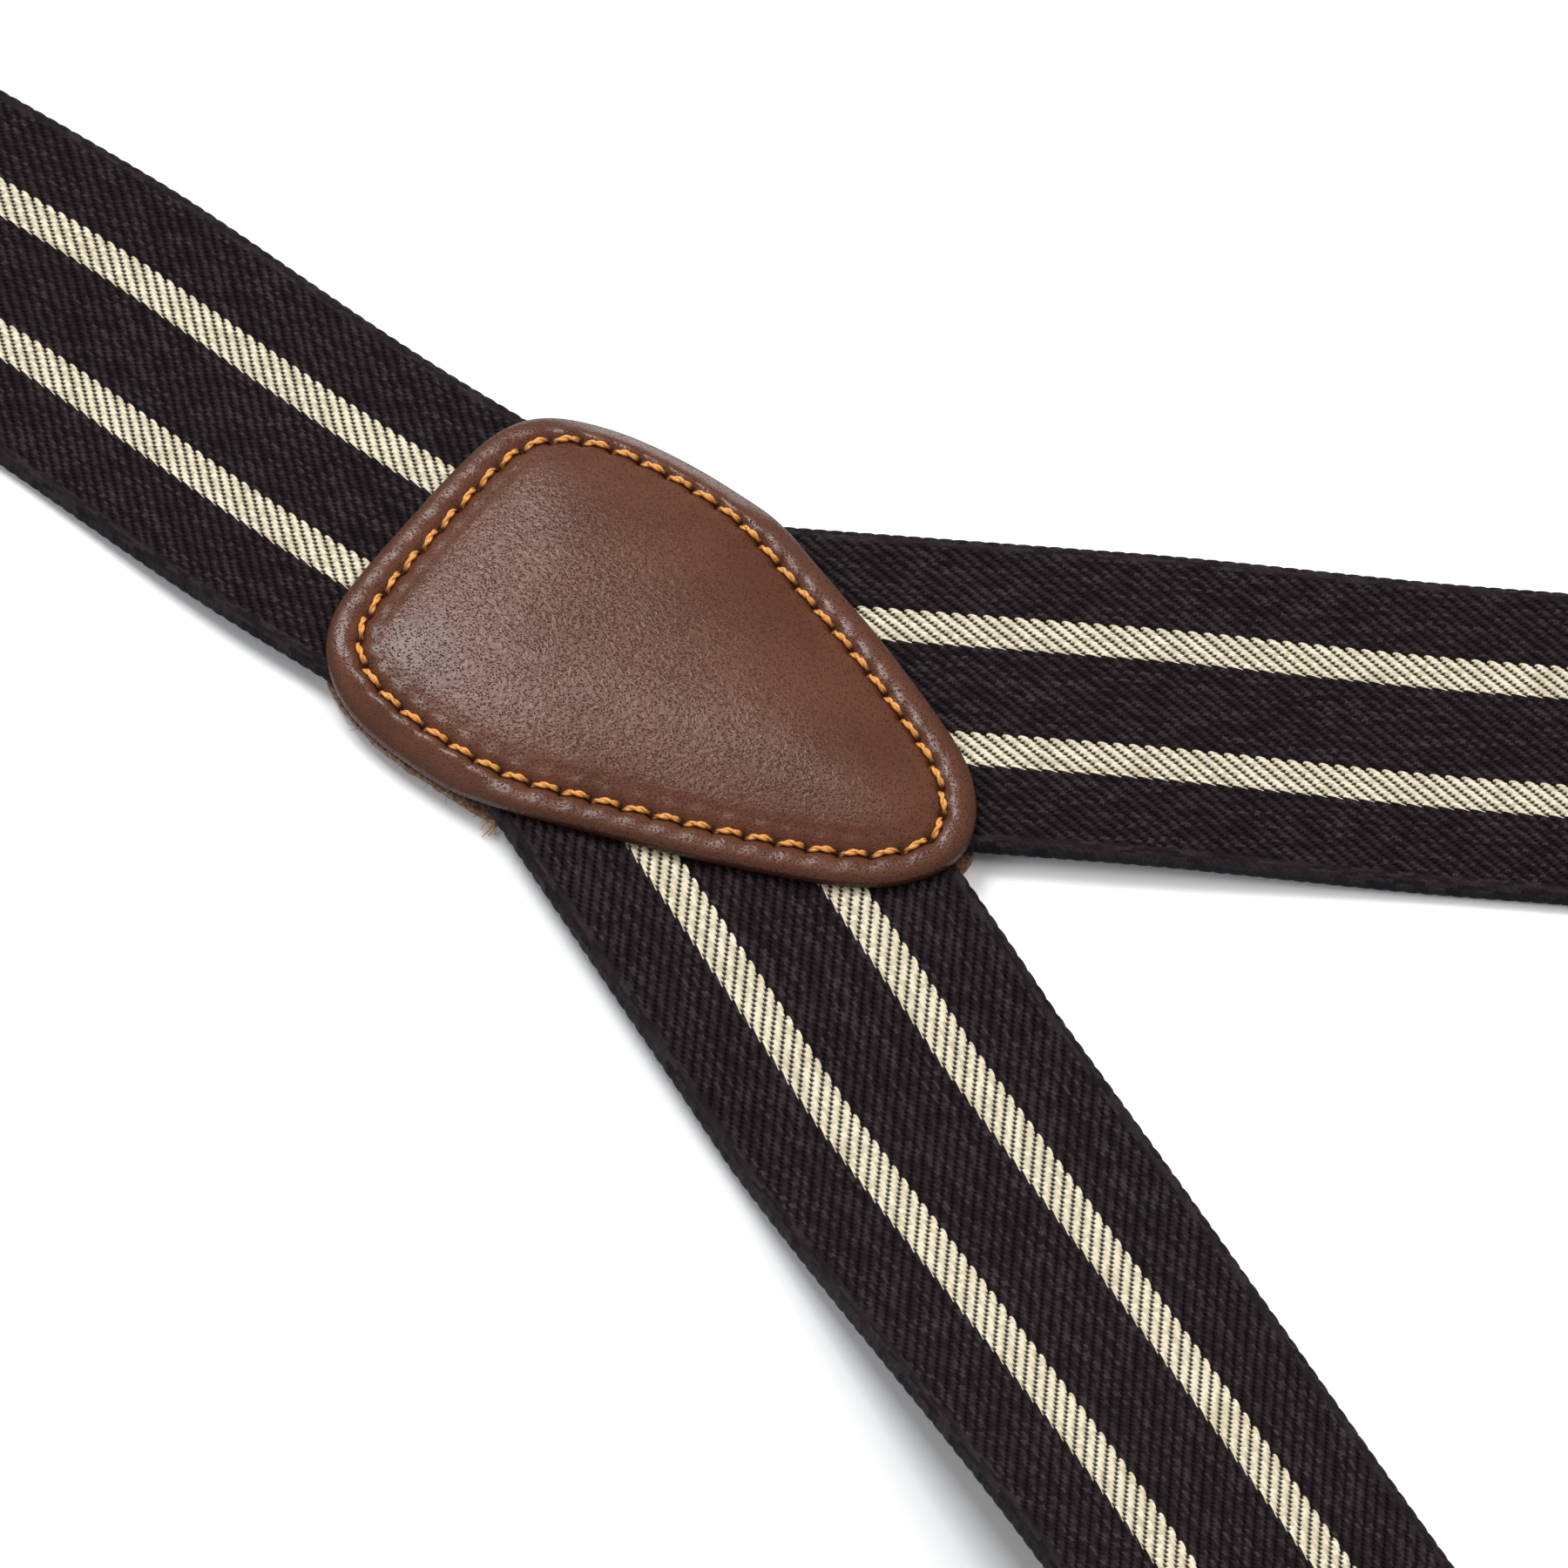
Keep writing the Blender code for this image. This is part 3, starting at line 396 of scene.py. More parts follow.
def thread_finish(name, low, high, deep):
    """Twisted sewing thread, with painted shade where it goes down into its hole."""
    made, tree, shader = new_finish(name)
    run = put(tree, "ShaderNodeUVMap", uv_map="run_mm").outputs["UV"]
    fibres = grain_noise(tree, stretched(tree, run, (3.0, 14.0, 1.0)), 1.0, 2.0, 0.6)
    body = tint(tree, ramp(tree, fibres, 0.32, 0.68), low, high)
    sunk = put(tree, "ShaderNodeAttribute", attribute_name="sunk").outputs["Fac"]
    # Painted shade where the thread dives into its hole.
    body = tint(tree, sunk, body, deep)
    tree.links.new(body, shader.inputs["Base Color"])
    tree.links.new(ramp(tree, fibres, 0.3, 0.7, 0.55, 0.36, "LINEAR"), shader.inputs["Roughness"])
    set_levels(shader, Specular_IOR_Level=0.6)
    raise_surface(tree, shader, fibres, 0.05 * MM)
    return made


def nickel_finish():
    """Bright plated steel with fine brushing and soft smudges."""
    made, tree, shader = new_finish("nickel_plate")
    where = in_millimetres(tree)
    brushed = grain_noise(tree, stretched(tree, where, (0.4, 9.0, 2.0)), 1.0, 3.0, 0.6)
    smudge = grain_noise(tree, where, 0.16, 3.0, 0.55)
    rough = ramp(tree, brushed, 0.2, 0.8, 0.16, 0.26, "LINEAR")
    rough = calc(tree, "ADD", rough, ramp(tree, smudge, 0.35, 0.75, 0.0, 0.06))
    tree.links.new(rough, shader.inputs["Roughness"])
    body = tint(tree, ramp(tree, smudge, 0.3, 0.7), (0.68, 0.66, 0.62), (0.74, 0.73, 0.70))
    tree.links.new(body, shader.inputs["Base Color"])
    set_levels(shader, Metallic=1.0)
    raise_surface(tree, shader, brushed, 0.006 * MM)
    return made


def grip_finish():
    """Matt black rubber of the grip pads."""
    made, tree, shader = new_finish("grip_rubber")
    where = in_millimetres(tree)
    speckle = grain_noise(tree, where, 6.0, 3.0)
    dust = grain_noise(tree, where, 0.5, 2.0)
    body = tint(tree, ramp(tree, dust, 0.45, 0.75), (0.012, 0.012, 0.013), (0.035, 0.034, 0.033))
    tree.links.new(body, shader.inputs["Base Color"])
    tree.links.new(ramp(tree, speckle, 0.2, 0.8, 0.55, 0.80, "LINEAR"), shader.inputs["Roughness"])
    raise_surface(tree, shader, speckle, 0.04 * MM)
    return made


BROWN, DEEP_BROWN, PALE_BROWN = (0.080, 0.0245, 0.0105), (0.018, 0.005, 0.003), (0.100, 0.033, 0.0155)
PATCH_LEATHER = leather_finish("patch_leather_finish", BROWN, DEEP_BROWN, PALE_BROWN)
TAB_LEATHER = leather_finish("tab_leather_finish", BROWN, DEEP_BROWN, PALE_BROWN, 1.1, False)
RAW_LEATHER = raw_leather_finish()
ORANGE_THREAD = thread_finish("orange_thread_finish", (0.48, 0.135, 0.014), (0.95, 0.47, 0.11), (0.060, 0.011, 0.002))
DARK_THREAD = thread_finish("dark_thread_finish", (0.016, 0.012, 0.013), (0.060, 0.048, 0.046), (0.006, 0.004, 0.004))
TAIL_THREAD = thread_finish("tail_thread_finish", (0.30, 0.13, 0.055), (0.62, 0.34, 0.17), (0.12, 0.05, 0.02))
NICKEL = nickel_finish()
GRIP = grip_finish()


# ---------------------------------------------------------------- mesh helpers


def shaped_grid(name, rows, columns, place, finish, weld=0.4e-6):
    """A grid whose points are carried to their places, welded where they meet, and closed.

    place takes the row and column of every point and gives positions, run in millimetres and named marks.
    """
    bm = bmesh.new()
    bmesh.ops.create_grid(bm, x_segments=rows, y_segments=columns, size=1.0)
    mesh = bpy.data.meshes.new(name)
    bm.to_mesh(mesh)
    bm.free()
    flat = np.empty(len(mesh.vertices) * 3)
    mesh.vertices.foreach_get("co", flat)
    flat = flat.reshape(-1, 3)
    reach = np.abs(flat[:, :2]).max(0)
    row = np.rint((flat[:, 0] / reach[0] + 1) / 2 * rows).astype(int)
    column = np.rint((flat[:, 1] / reach[1] + 1) / 2 * columns).astype(int)
    points, run, marks = place(row, column)
    mesh.vertices.foreach_set("co", np.ascontiguousarray(points).ravel())
    corners = np.empty(len(mesh.loops), int)
    mesh.loops.foreach_get("vertex_index", corners)
    layer = mesh.uv_layers.new(name="run_mm")
    layer.data.foreach_set("uv", np.ascontiguousarray(run[corners]).ravel())
    for key, values in marks.items():
        mark = mesh.attributes.new(key, "FLOAT", "POINT")
        mark.data.foreach_set("value", values.astype(np.float32))
    bm = bmesh.new()
    bm.from_mesh(mesh)
    bmesh.ops.remove_doubles(bm, verts=bm.verts[:], dist=weld)
    bmesh.ops.holes_fill(bm, edges=[e for e in bm.edges if e.is_boundary], sides=0)
    bmesh.ops.recalc_face_normals(bm, faces=bm.faces[:])
    for face in bm.faces:
        face.smooth = True
    bm.to_mesh(mesh)
    bm.free()
    mesh.materials.append(finish)
    made = bpy.data.objects.new(name, mesh)
    PRODUCT.objects.link(made)
    return made


def eased(value, low, high):
    """Rises from 0 at low to 1 at high."""
    t = np.clip((np.asarray(value, float) - low) / (high - low), 0.0, 1.0)
    return t * t * (3 - 2 * t)


def along_line(at, walked, points):
    """Points of a line at some lengths along it, between points whose lengths are walked."""
    return np.stack([np.interp(at, walked, points[:, i]) for i in range(points.shape[1])], 1)


def walked_of(points):
    """Length along a line at each of its points."""
    return np.concatenate([[0.0], np.cumsum(np.linalg.norm(np.diff(points, axis=0), axis=1))])


class Route:
    """Where a strap runs: middle line, the way across it and the way out of its face, by length run."""

    def __init__(self, middles, across, up):
        self.middles = np.array(middles, float)
        steps = np.linalg.norm(np.diff(self.middles, axis=0), axis=1)
        keep = np.concatenate([[True], steps > 1e-7])
        self.middles = self.middles[keep]
        self.across = np.array(across, float)[keep]
        self.up = np.array(up, float)[keep]
        self.run = walked_of(self.middles)
        self.length = self.run[-1]

    def at(self, run):
        """Middle, across and up at each run."""
        return [along_line(run, self.run, points) for points in (self.middles, self.across, self.up)]


def strap_section():
    """Points round a strap's section: place across, height, and the share of painted shade, full on the side faces."""
    half, thick, round_off = STRAP_WIDTH / 2, STRAP_THICK / 2, STRAP_ROUND
    flat = half - round_off
    turn = [math.radians(a) for a in (65, 42, 20)]
    outer = [(flat + round_off * math.cos(a), thick - round_off + round_off * math.sin(a)) for a in turn]
    points = [(v, thick, 0.0) for v in np.linspace(-flat, flat, 27)]
    points += [(v, h, 0.2) for v, h in outer]
    points += [(half, 0.18 * MM, 1.0), (half, -0.18 * MM, 1.0)]
    points += [(v, -h, 0.6) for v, h in reversed(outer)]
    points += [(v, -thick, 0.0) for v in np.linspace(flat, -flat, 11)]
    points += [(-v, -h, 0.6) for v, h in outer]
    points += [(-half, -0.18 * MM, 1.0), (-half, 0.18 * MM, 1.0)]
    points += [(-v, h, 0.2) for v, h in reversed(outer)]
    points.append(points[0])
    return np.array(points)


def woven_strap(name, route, rib_mm, finish, first_run=0.0, keep_side=0):
    """Webbing along a route. Rows of the grid follow the ribs, four to a rib, so each rib stands up."""
    section = strap_section()
    slant = 4 * WARP_MM / rib_mm
    slip = STRAP_WIDTH / 2 / slant
    step = rib_mm * MM / 4
    rows = int(math.ceil((route.length + 2 * slip) / step)) + 1
    start = math.floor((first_run - slip) / step) * step

    def place(row, column):
        v, h, side = section[column].T
        slanted = start + row * step
        free_run = slanted - v / slant
        run = np.clip(free_run, first_run, first_run + route.length)
        ends = eased(np.minimum(free_run - first_run, first_run + route.length - free_run), 0.0, 1.0 * MM)
        phase = (slanted / (rib_mm * MM)) % 1.0
        cord = 1 - np.abs(2 * phase - 1) ** 2.2
        middle, across, up = route.at(run - first_run)
        drop = RIB_RELIEF * (1 - cord) * ends
        face = np.where(h > 0.9 * STRAP_THICK / 2, 1.0, np.where(h < -0.9 * STRAP_THICK / 2, -0.6, 0.0))
        v_place = v - np.sign(v) * 0.12 * MM * (1 - cord) * ends * (np.abs(v) > STRAP_WIDTH / 2 - 0.6 * MM)
        points = middle + across * v_place[:, None] + up * (h - face * drop)[:, None]
        if keep_side:
            points[:, 1] = np.where(points[:, 1] * keep_side < 0.1 * MM, 0.1 * MM * keep_side, points[:, 1])
        uv = np.stack([run / MM, v / MM], 1)
        return points, uv, {"side_face_shade": side}

    return shaped_grid(name, rows, len(section) - 1, place, finish)


def thread_run(name, route_points, stitches, finish, closed=False, slant=0.20, size=0.185):
    """Two-ply thread sewn along a route of (x, y, z) points: one row of stitches."""
    route_points = np.array(route_points, float)
    if closed:
        route_points = np.vstack([route_points, route_points[:1]])
    walked = walked_of(route_points)
    total = walked[-1]
    per = 20
    rows = stitches * per
    sides = 8
    pitch = total / stitches
    plies = []

    def spot(s):
        return along_line(s % total if closed else s, walked, route_points)

    for ply in range(2):
        def place(row, column, ply=ply):
            s = row / rows * total
            t = (row % per) / per
            t = np.where(row == rows, 1.0, t)
            middle = along_line(s, walked, route_points)
            along = spot(s + 0.4 * MM) - spot(s - 0.4 * MM)
            along[:, 2] = 0
            along /= np.maximum(np.linalg.norm(along, axis=1), 1e-9)[:, None]
            aside = np.stack([-along[:, 1], along[:, 0], np.zeros(len(s))], 1)
            arch = np.clip(np.sin(math.pi * t), 0, 1) ** 0.42
            sink = 1 - arch
            thin = 0.55 + 0.45 * arch
            lift = (0.30 - 1.15 * sink) * MM
            shift = (t - 0.5) * 2 * slant * MM * (arch > 0.02)
            twist = 2 * math.pi * (s / pitch * 1.25) + ply * math.pi
            radius = size * MM * thin
            off = radius * 0.78
            up = np.tile([0.0, 0.0, 1.0], (len(s), 1))
            core = middle + aside * (shift + off * np.cos(twist))[:, None]
            core += up * (lift + off * 0.8 * np.sin(twist))[:, None]
            around = 2 * math.pi * column / sides
            points = core + aside * (radius * np.cos(around))[:, None] + up * (radius * np.sin(around))[:, None]
            uv = np.stack([s / MM, column / sides], 1)
            return points, uv, {"sunk": eased(sink, 0.05, 0.55)}

        plies.append(shaped_grid(f"{name}_ply_{ply + 1}", rows, sides, place, finish))
    return joined(name, plies)


def joined(name, pieces):
    """Several pieces made one."""
    bm = bmesh.new()
    for piece in pieces:
        bm.from_mesh(piece.data)
    mesh = bpy.data.meshes.new(name)
    bm.to_mesh(mesh)
    bm.free()
    for finish in pieces[0].data.materials:
        mesh.materials.append(finish)
    for piece in pieces:
        spare = piece.data
        bpy.data.objects.remove(piece, do_unlink=True)
        bpy.data.meshes.remove(spare)
    made = bpy.data.objects.new(name, mesh)
    PRODUCT.objects.link(made)
    return made


def eased_copy(name, node, finish, width, slot, segments, angle):
    """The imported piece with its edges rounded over, riding where that piece rides."""
    bm = bmesh.new()
    bm.from_mesh(frame["nodes"][node].data)
    bmesh.ops.remove_doubles(bm, verts=bm.verts[:], dist=1e-6)
    bmesh.ops.dissolve_limit(
        bm, angle_limit=math.radians(1.0), verts=bm.verts[:], edges=bm.edges[:], use_dissolve_boundaries=False
    )
    sharp = [e for e in bm.edges if e.is_manifold and e.calc_face_angle(0.0) > math.radians(angle)]
    bmesh.ops.bevel(
        bm, geom=sharp, offset=width, offset_type="OFFSET", affect="EDGES", segments=segments,
        profile=0.5, material=-1, clamp_overlap=True,
    )
    for face in bm.faces:
        face.smooth = True
    mesh = bpy.data.meshes.new(name)
    bm.to_mesh(mesh)
    bm.free()
    mesh.set_sharp_from_angle(angle=math.radians(38))
    mesh.materials.append(finish)
    made = bpy.data.objects.new(name, mesh)
    PRODUCT.objects.link(made)
    even = made.modifiers.new("even_shading", "WEIGHTED_NORMAL")
    even.keep_sharp = True
    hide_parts(node)
    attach(made, frame["nodes"][node]["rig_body"])
    return made


# ---------------------------------------------------------------- straps


class FrontLay:
    """Where one front strap runs: straight out of the patch, a bend, then straight along X."""

    def __init__(self, side, start, angle, straight):
        self.side = side
        self.start = start
        self.angle = math.radians(angle)
        self.straight = straight
        offset = straight * math.sin(self.angle)
        self.radius = (LAY_HALF_WIDTH - offset) / (1 - math.cos(self.angle))
        self.bend_end = straight + self.radius * self.angle
        self.level_x = start + straight * math.cos(self.angle) + self.radius * math.sin(self.angle)
        self.end = self.bend_end + FRONT_REACH - self.level_x

    def plan(self, s):
        """Middle and heading from the patch's middle."""
        if s <= self.straight:
            return self.start + s * math.cos(self.angle), self.side * s * math.sin(self.angle), self.angle
        if s >= self.bend_end:
            return self.level_x + s - self.bend_end, self.side * LAY_HALF_WIDTH, 0.0
        heading = self.angle - (s - self.straight) / self.radius
        x = self.start + self.straight * math.cos(self.angle)
        y = self.straight * math.sin(self.angle)
        x += self.radius * (math.sin(self.angle) - math.sin(heading))
        y += self.radius * (math.cos(heading) - math.cos(self.angle))
        return x, self.side * y, heading

    def low(self, s):
        """Height of the underside."""
        under_patch = (LINING_THICK + GAP) * (1 - eased(s, 45 * MM, 80 * MM))
        if self.side > 0:
            return under_patch + OUTER_LOW * eased(s, self.bend_end - 110 * MM, self.bend_end)
        return max(under_patch, OUTER_LOW * eased(s, 40 * MM, 125 * MM))

    def bank(self, s):
        """How far the outer edge is turned up."""
        if self.side > 0:
            return 0.0
        return RIGHT_BANK * (eased(s, 50 * MM, 120 * MM) - eased(s, 160 * MM, self.bend_end - 20 * MM))

    def route(self):
        """The whole run, with its half turn round the ring."""
        first = (-15 * MM - self.start + STRAP_WIDTH / 2 * math.sin(self.angle)) / math.cos(self.angle)
        middles, across, ups = [], [], []
        for s in np.arange(first, self.end, 1.0 * MM):
            x, y, turned = self.plan(s)
            turned *= self.side
            bank = self.bank(s)
            level = Vector((-math.sin(turned), math.cos(turned), 0.0))
            outward = level * self.side
            tilt = outward * math.cos(bank) + Vector((0, 0, math.sin(bank)))
            up = Vector((0, 0, math.cos(bank))) - outward * math.sin(bank)
            middles.append(Vector((PATCH_X + x, y, self.low(s))) + up * STRAP_THICK / 2)
            across.append(tilt * self.side)
            ups.append(up)
        for i in range(25):
            turn = math.pi * i / 24
            outward = Vector((math.sin(turn), 0, math.cos(turn)))
            middles.append(Vector((FRONT_RING_X, self.side * LAY_HALF_WIDTH, AXIS_HIGH)) + outward * TURN_RADIUS)
            across.append(Vector((0, 1, 0)))
            ups.append(outward)
        return Route(middles, across, ups)


LEFT_LAY = FrontLay(1, -3.5 * MM, 30.8, 85.0 * MM)
RIGHT_LAY = FrontLay(-1, -10.2 * MM, 24.15, 118.0 * MM)


def level_route(points, y):
    """A route in one upright plane, from (x, z) points on its middle line."""
    points = np.array(points, float)
    ahead = np.gradient(points, axis=0)
    ahead /= np.linalg.norm(ahead, axis=1)[:, None]
    middles = np.stack([points[:, 0], np.full(len(points), y), points[:, 1]], 1)
    across = np.tile([0.0, 1.0, 0.0], (len(points), 1))
    ups = np.stack([-ahead[:, 1], np.zeros(len(points)), ahead[:, 0]], 1)
    return middles, across, ups


def back_route():
    """From the back ring's folded end, round the ring, to under the patch: run grows towards the patch."""
    high, lap, flat = AXIS_HIGH + TURN_RADIUS, STRAP_THICK * 1.5 + GAP, STRAP_THICK / 2
    fold_end = BACK_RING_X + 34 * MM
    under = LINING_THICK + GAP + STRAP_THICK / 2
    points = [(x, flat) for x in np.linspace(fold_end, BACK_RING_X + 2 * MM, 20)]
    points += [
        (BACK_RING_X - TURN_RADIUS * math.sin(a), AXIS_HIGH - TURN_RADIUS * math.cos(a))
        for a in np.linspace(0, math.pi, 25)
    ]
    for x in np.arange(BACK_RING_X + 1 * MM, PATCH_X - 16 * MM, 1.0 * MM):
        off = x - BACK_RING_X
        z = high + (lap - high) * eased(off, 1 * MM, 18 * MM)
        z += (flat - lap) * eased(off, 36 * MM, 50 * MM)
        z += (under - flat) * eased(x, PATCH_X - 68 * MM, PATCH_X - 32 * MM)
        points.append((x, z))
    points.append((PATCH_X - 16 * MM, under))
    middles, across, ups = level_route(points, 0.0)
    sway = 1.9 * MM * eased(middles[:, 0], PATCH_X - 150 * MM, PATCH_X - 76 * MM)
    sway *= 1 - eased(middles[:, 0], PATCH_X - 76 * MM, PATCH_X - 34 * MM) * 1.35
    top_run = np.arange(len(points)) > 45
    middles[:, 1] += np.where(top_run, sway, 0.0)
    return Route(middles, across, ups)


def return_route(side):
    """From under the ring, back to the adjuster, round its bar and forward again."""
    wrap_x = FRONT_RING_X - ADJUST_SETTING
    low, high = STRAP_THICK / 2, FOLD_LOW + STRAP_THICK / 2
    radius = (high - low) / 2
    points = [(x, low) for x in np.linspace(FRONT_RING_X, wrap_x + 1 * MM, 60)]
    turn = np.linspace(0, math.pi, 17)
    points += [(wrap_x - radius * math.sin(a), low + radius - radius * math.cos(a)) for a in turn]
    points += [(wrap_x + x * MM, high) for x in range(1, round(FOLD_LENGTH / MM) + 1)]
    middles, across, ups = level_route(points, side * LAY_HALF_WIDTH)
    return Route(middles, across, ups)


def make_webbing():
    """All five lengths of webbing, bent round the rings and the adjusters' bars."""
    back = back_route()
    piece = woven_strap("back_webbing", back, BACK_RIB_MM, webbing_finish("back_webbing_weave", BACK_RIB_MM))
    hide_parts("back_strap")
    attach(piece, "straps")
    finishes = {
        "left": webbing_finish("left_webbing_weave", LEFT_RIB_MM),
        "right": webbing_finish("right_webbing_weave", RIGHT_RIB_MM),
    }
    for side_name, lay, rib in (("left", LEFT_LAY, LEFT_RIB_MM), ("right", RIGHT_LAY, RIGHT_RIB_MM)):
        run = lay.route()
        piece = woven_strap(side_name + "_front_webbing", run, rib, finishes[side_name], keep_side=lay.side)
        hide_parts(side_name + "_front_strap")
        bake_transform(piece)
        fold = return_route(lay.side)
        piece = woven_strap(side_name + "_return_webbing", fold, rib, finishes[side_name], first_run=run.length)
        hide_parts(side_name + "_return_run")
        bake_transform(piece)


make_webbing()


# ---------------------------------------------------------------- leather patch


def smooth_loop(points, count):
    """A closed run of a number of points, evenly spaced and rounded off."""
    points = np.array(points, float)
    for _ in range(3):
        ahead = np.roll(points, -1, 0)
        points = np.stack([points * 0.75 + ahead * 0.25, points * 0.25 + ahead * 0.75], 1).reshape(-1, 2)
    closed = np.vstack([points, points[:1]])
    walked = walked_of(closed)
    return along_line(np.linspace(0, walked[-1], count, endpoint=False), walked, closed)


def outward_of(loop):
    """Outward directions of an anticlockwise loop."""
    along = np.roll(loop, -1, 0) - np.roll(loop, 1, 0)
    along /= np.linalg.norm(along, axis=1)[:, None]
    return np.stack([along[:, 1], -along[:, 0]], 1)


PER_STITCH = 8
AROUND = PATCH_STITCHES * PER_STITCH
upper = [(x * MM, -y * MM) for x, y in PATCH_HALF_PROFILE]
lower = [(PATCH_NOSE, 0.0)] + [(x, -y) for x, y in reversed(upper[1:])]
OUTLINE = smooth_loop(upper + lower, 720)
STITCH_LINE = smooth_loop(OUTLINE - outward_of(OUTLINE) * STITCH_INSET, AROUND)
STITCH_OUT = outward_of(STITCH_LINE)
for _ in range(6):
    STITCH_OUT = np.roll(STITCH_OUT, 1, 0) * 0.25 + STITCH_OUT * 0.5 + np.roll(STITCH_OUT, -1, 0) * 0.25
STITCH_OUT /= np.linalg.norm(STITCH_OUT, axis=1)[:, None]


def spine_of(places):
    """Where the rows of both sides meet, on the patch's long axis, at whole millimetres."""
    x = np.clip(np.rint(places[:, 0] / MM * 0.62) - 3, -16, 17) * MM
    return np.stack([x, np.zeros(len(x))], 1)


def rim_drop():
    """How far each place on the rim hangs down where no strap lies under it, from 0 to 1."""
    rim = STITCH_LINE + STITCH_OUT * STITCH_INSET
    half = STRAP_WIDTH / 2 + 1.0 * MM
    x, y = rim.T
    over = (x < -14 * MM) & (np.abs(y) < half)
    for lay in (LEFT_LAY, RIGHT_LAY):
        aside = y * lay.side * math.cos(lay.angle) - (x - lay.start) * math.sin(lay.angle)
        over |= (y * lay.side > -1 * MM) & (np.abs(aside) < half) & (x > -17 * MM)
    bare = 1.0 - over.astype(float)
    for _ in range(60):
        bare = np.roll(bare, 1) * 0.25 + bare * 0.5 + np.roll(bare, -1) * 0.25
    return bare


RIM_DROP = rim_drop()
RIM_FALL = 1.3 * MM
LINING_LIFT = 1.0 * MM
STRAP_TOP = LINING_THICK + GAP + STRAP_THICK
LEATHER_TOP = STRAP_TOP + GAP + LEATHER_THICK


def leather_height(inset, around):
    """Top of the leather over the stack: rim, pressed stitch line, and the swell inside it."""
    swell = 1 - (1 - np.clip((inset - STITCH_INSET - 0.1 * MM) / (15 * MM), 0, 1)) ** 2.3
    groove = np.exp(-(((inset - STITCH_INSET) / (0.62 * MM)) ** 2))
    border = 0.12 * MM * np.exp(-(((inset - 1.9 * MM) / (1.0 * MM)) ** 2))
    drop = RIM_DROP[around] * (1 - eased(inset, 0.0, 2.6 * MM)) * RIM_FALL
    phase = (around % PER_STITCH) / PER_STITCH
    hole = np.exp(-((np.minimum(phase, 1 - phase) / 0.11) ** 2))
    hole = hole * np.exp(-(((inset - STITCH_INSET) / (0.42 * MM)) ** 2))
    pucker = 0.10 * MM * np.cos(2 * math.pi * phase) * np.exp(-(((inset - STITCH_INSET) / (1.5 * MM)) ** 2))
    return LEATHER_TOP + PATCH_DOME * swell - 0.34 * MM * groove + border - drop - 0.55 * MM * hole - pucker, hole


def make_patch():
    """Domed leather with a rolled rim, sewn through a pressed line of needle holes."""
    insets_mm = [0.0, 0.10, 0.30, 0.62, 1.05, 1.55, 2.05, 2.5, 2.85, 3.1, 3.3, 3.5, 3.7, 3.9, 4.1, 4.35, 4.7, 5.1]
    inner = np.linspace(0.0, 1.0, 26)[1:]
    rim = [(-0.02, 0.18), (-0.10, 0.42), (-0.10, 0.72), (0.02, 0.98), (0.30, 1.16)]
    tops = len(insets_mm) + len(inner)
    rows = tops + len(rim) + 7

    def place(row, column):
        around = column % AROUND
        stitch, out = STITCH_LINE[around], STITCH_OUT[around]
        xy = np.zeros((len(row), 2))
        z = np.zeros(len(row))
        hole = np.zeros(len(row))
        edge = np.zeros(len(row))
        spine = spine_of(stitch)
        start = stitch - out * (insets_mm[-1] * MM - STITCH_INSET)
        for k in range(rows + 1):
            here = row == k
            if k < len(inner):
                share = inner[len(inner) - 1 - k]
                spot = start[here] + (spine[here] - start[here]) * share
                apart = (spot[:, None, :] - (STITCH_LINE + STITCH_OUT * STITCH_INSET)[None, ::2, :])
                depth = ((apart**2).sum(2) ** -4.0).sum(1) ** -0.125 * 1.38
                xy[here] = spot
                z[here], hole[here] = leather_height(depth, around[here])
                hole[here] = 0.0
                continue
            if k < tops:
                inset = insets_mm[tops - 1 - k] * MM
                xy[here] = stitch[here] + out[here] * (STITCH_INSET - inset)
                level, pricked = leather_height(np.full(here.sum(), inset), around[here])
                fall = 0.42 * MM * (1 - min(inset / (1.1 * MM), 1.0)) ** 2.2
                z[here], hole[here] = level - fall, pricked
                edge[here] = 0.8 * (1 - eased(inset, 0.1 * MM, 1.0 * MM))
                continue
            if k < tops + len(rim):
                inset, fall = rim[k - tops]
                xy[here] = stitch[here] + out[here] * (STITCH_INSET - inset * MM)
                level, _ = leather_height(np.zeros(here.sum()), around[here])
                z[here] = level - 0.42 * MM - fall * MM * 0.8
                edge[here] = 1.0
                continue
            under = (k - tops - len(rim)) / 7
            depth = 1.2 * MM + under * 22 * MM
            level, _ = leather_height(np.full(here.sum(), depth), around[here])
            inner_edge = stitch[here] + out[here] * (STITCH_INSET - 1.2 * MM)
            xy[here] = inner_edge + (spine[here] - inner_edge) * under
            hang = RIM_DROP[around[here]] * RIM_FALL * (1 - eased(under, 0, 0.15))
            z[here] = LEATHER_TOP - LEATHER_THICK + 0.05 * MM - hang
            edge[here] = 1.0
        points = np.stack([PATCH_X + xy[:, 0], xy[:, 1], z], 1)
        return points, xy / MM, {"needle_hole": hole, "rim": edge}

    piece = shaped_grid("patch_leather_top", rows, AROUND, place, PATCH_LEATHER)
    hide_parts("patch_leather")
    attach(piece, "straps")


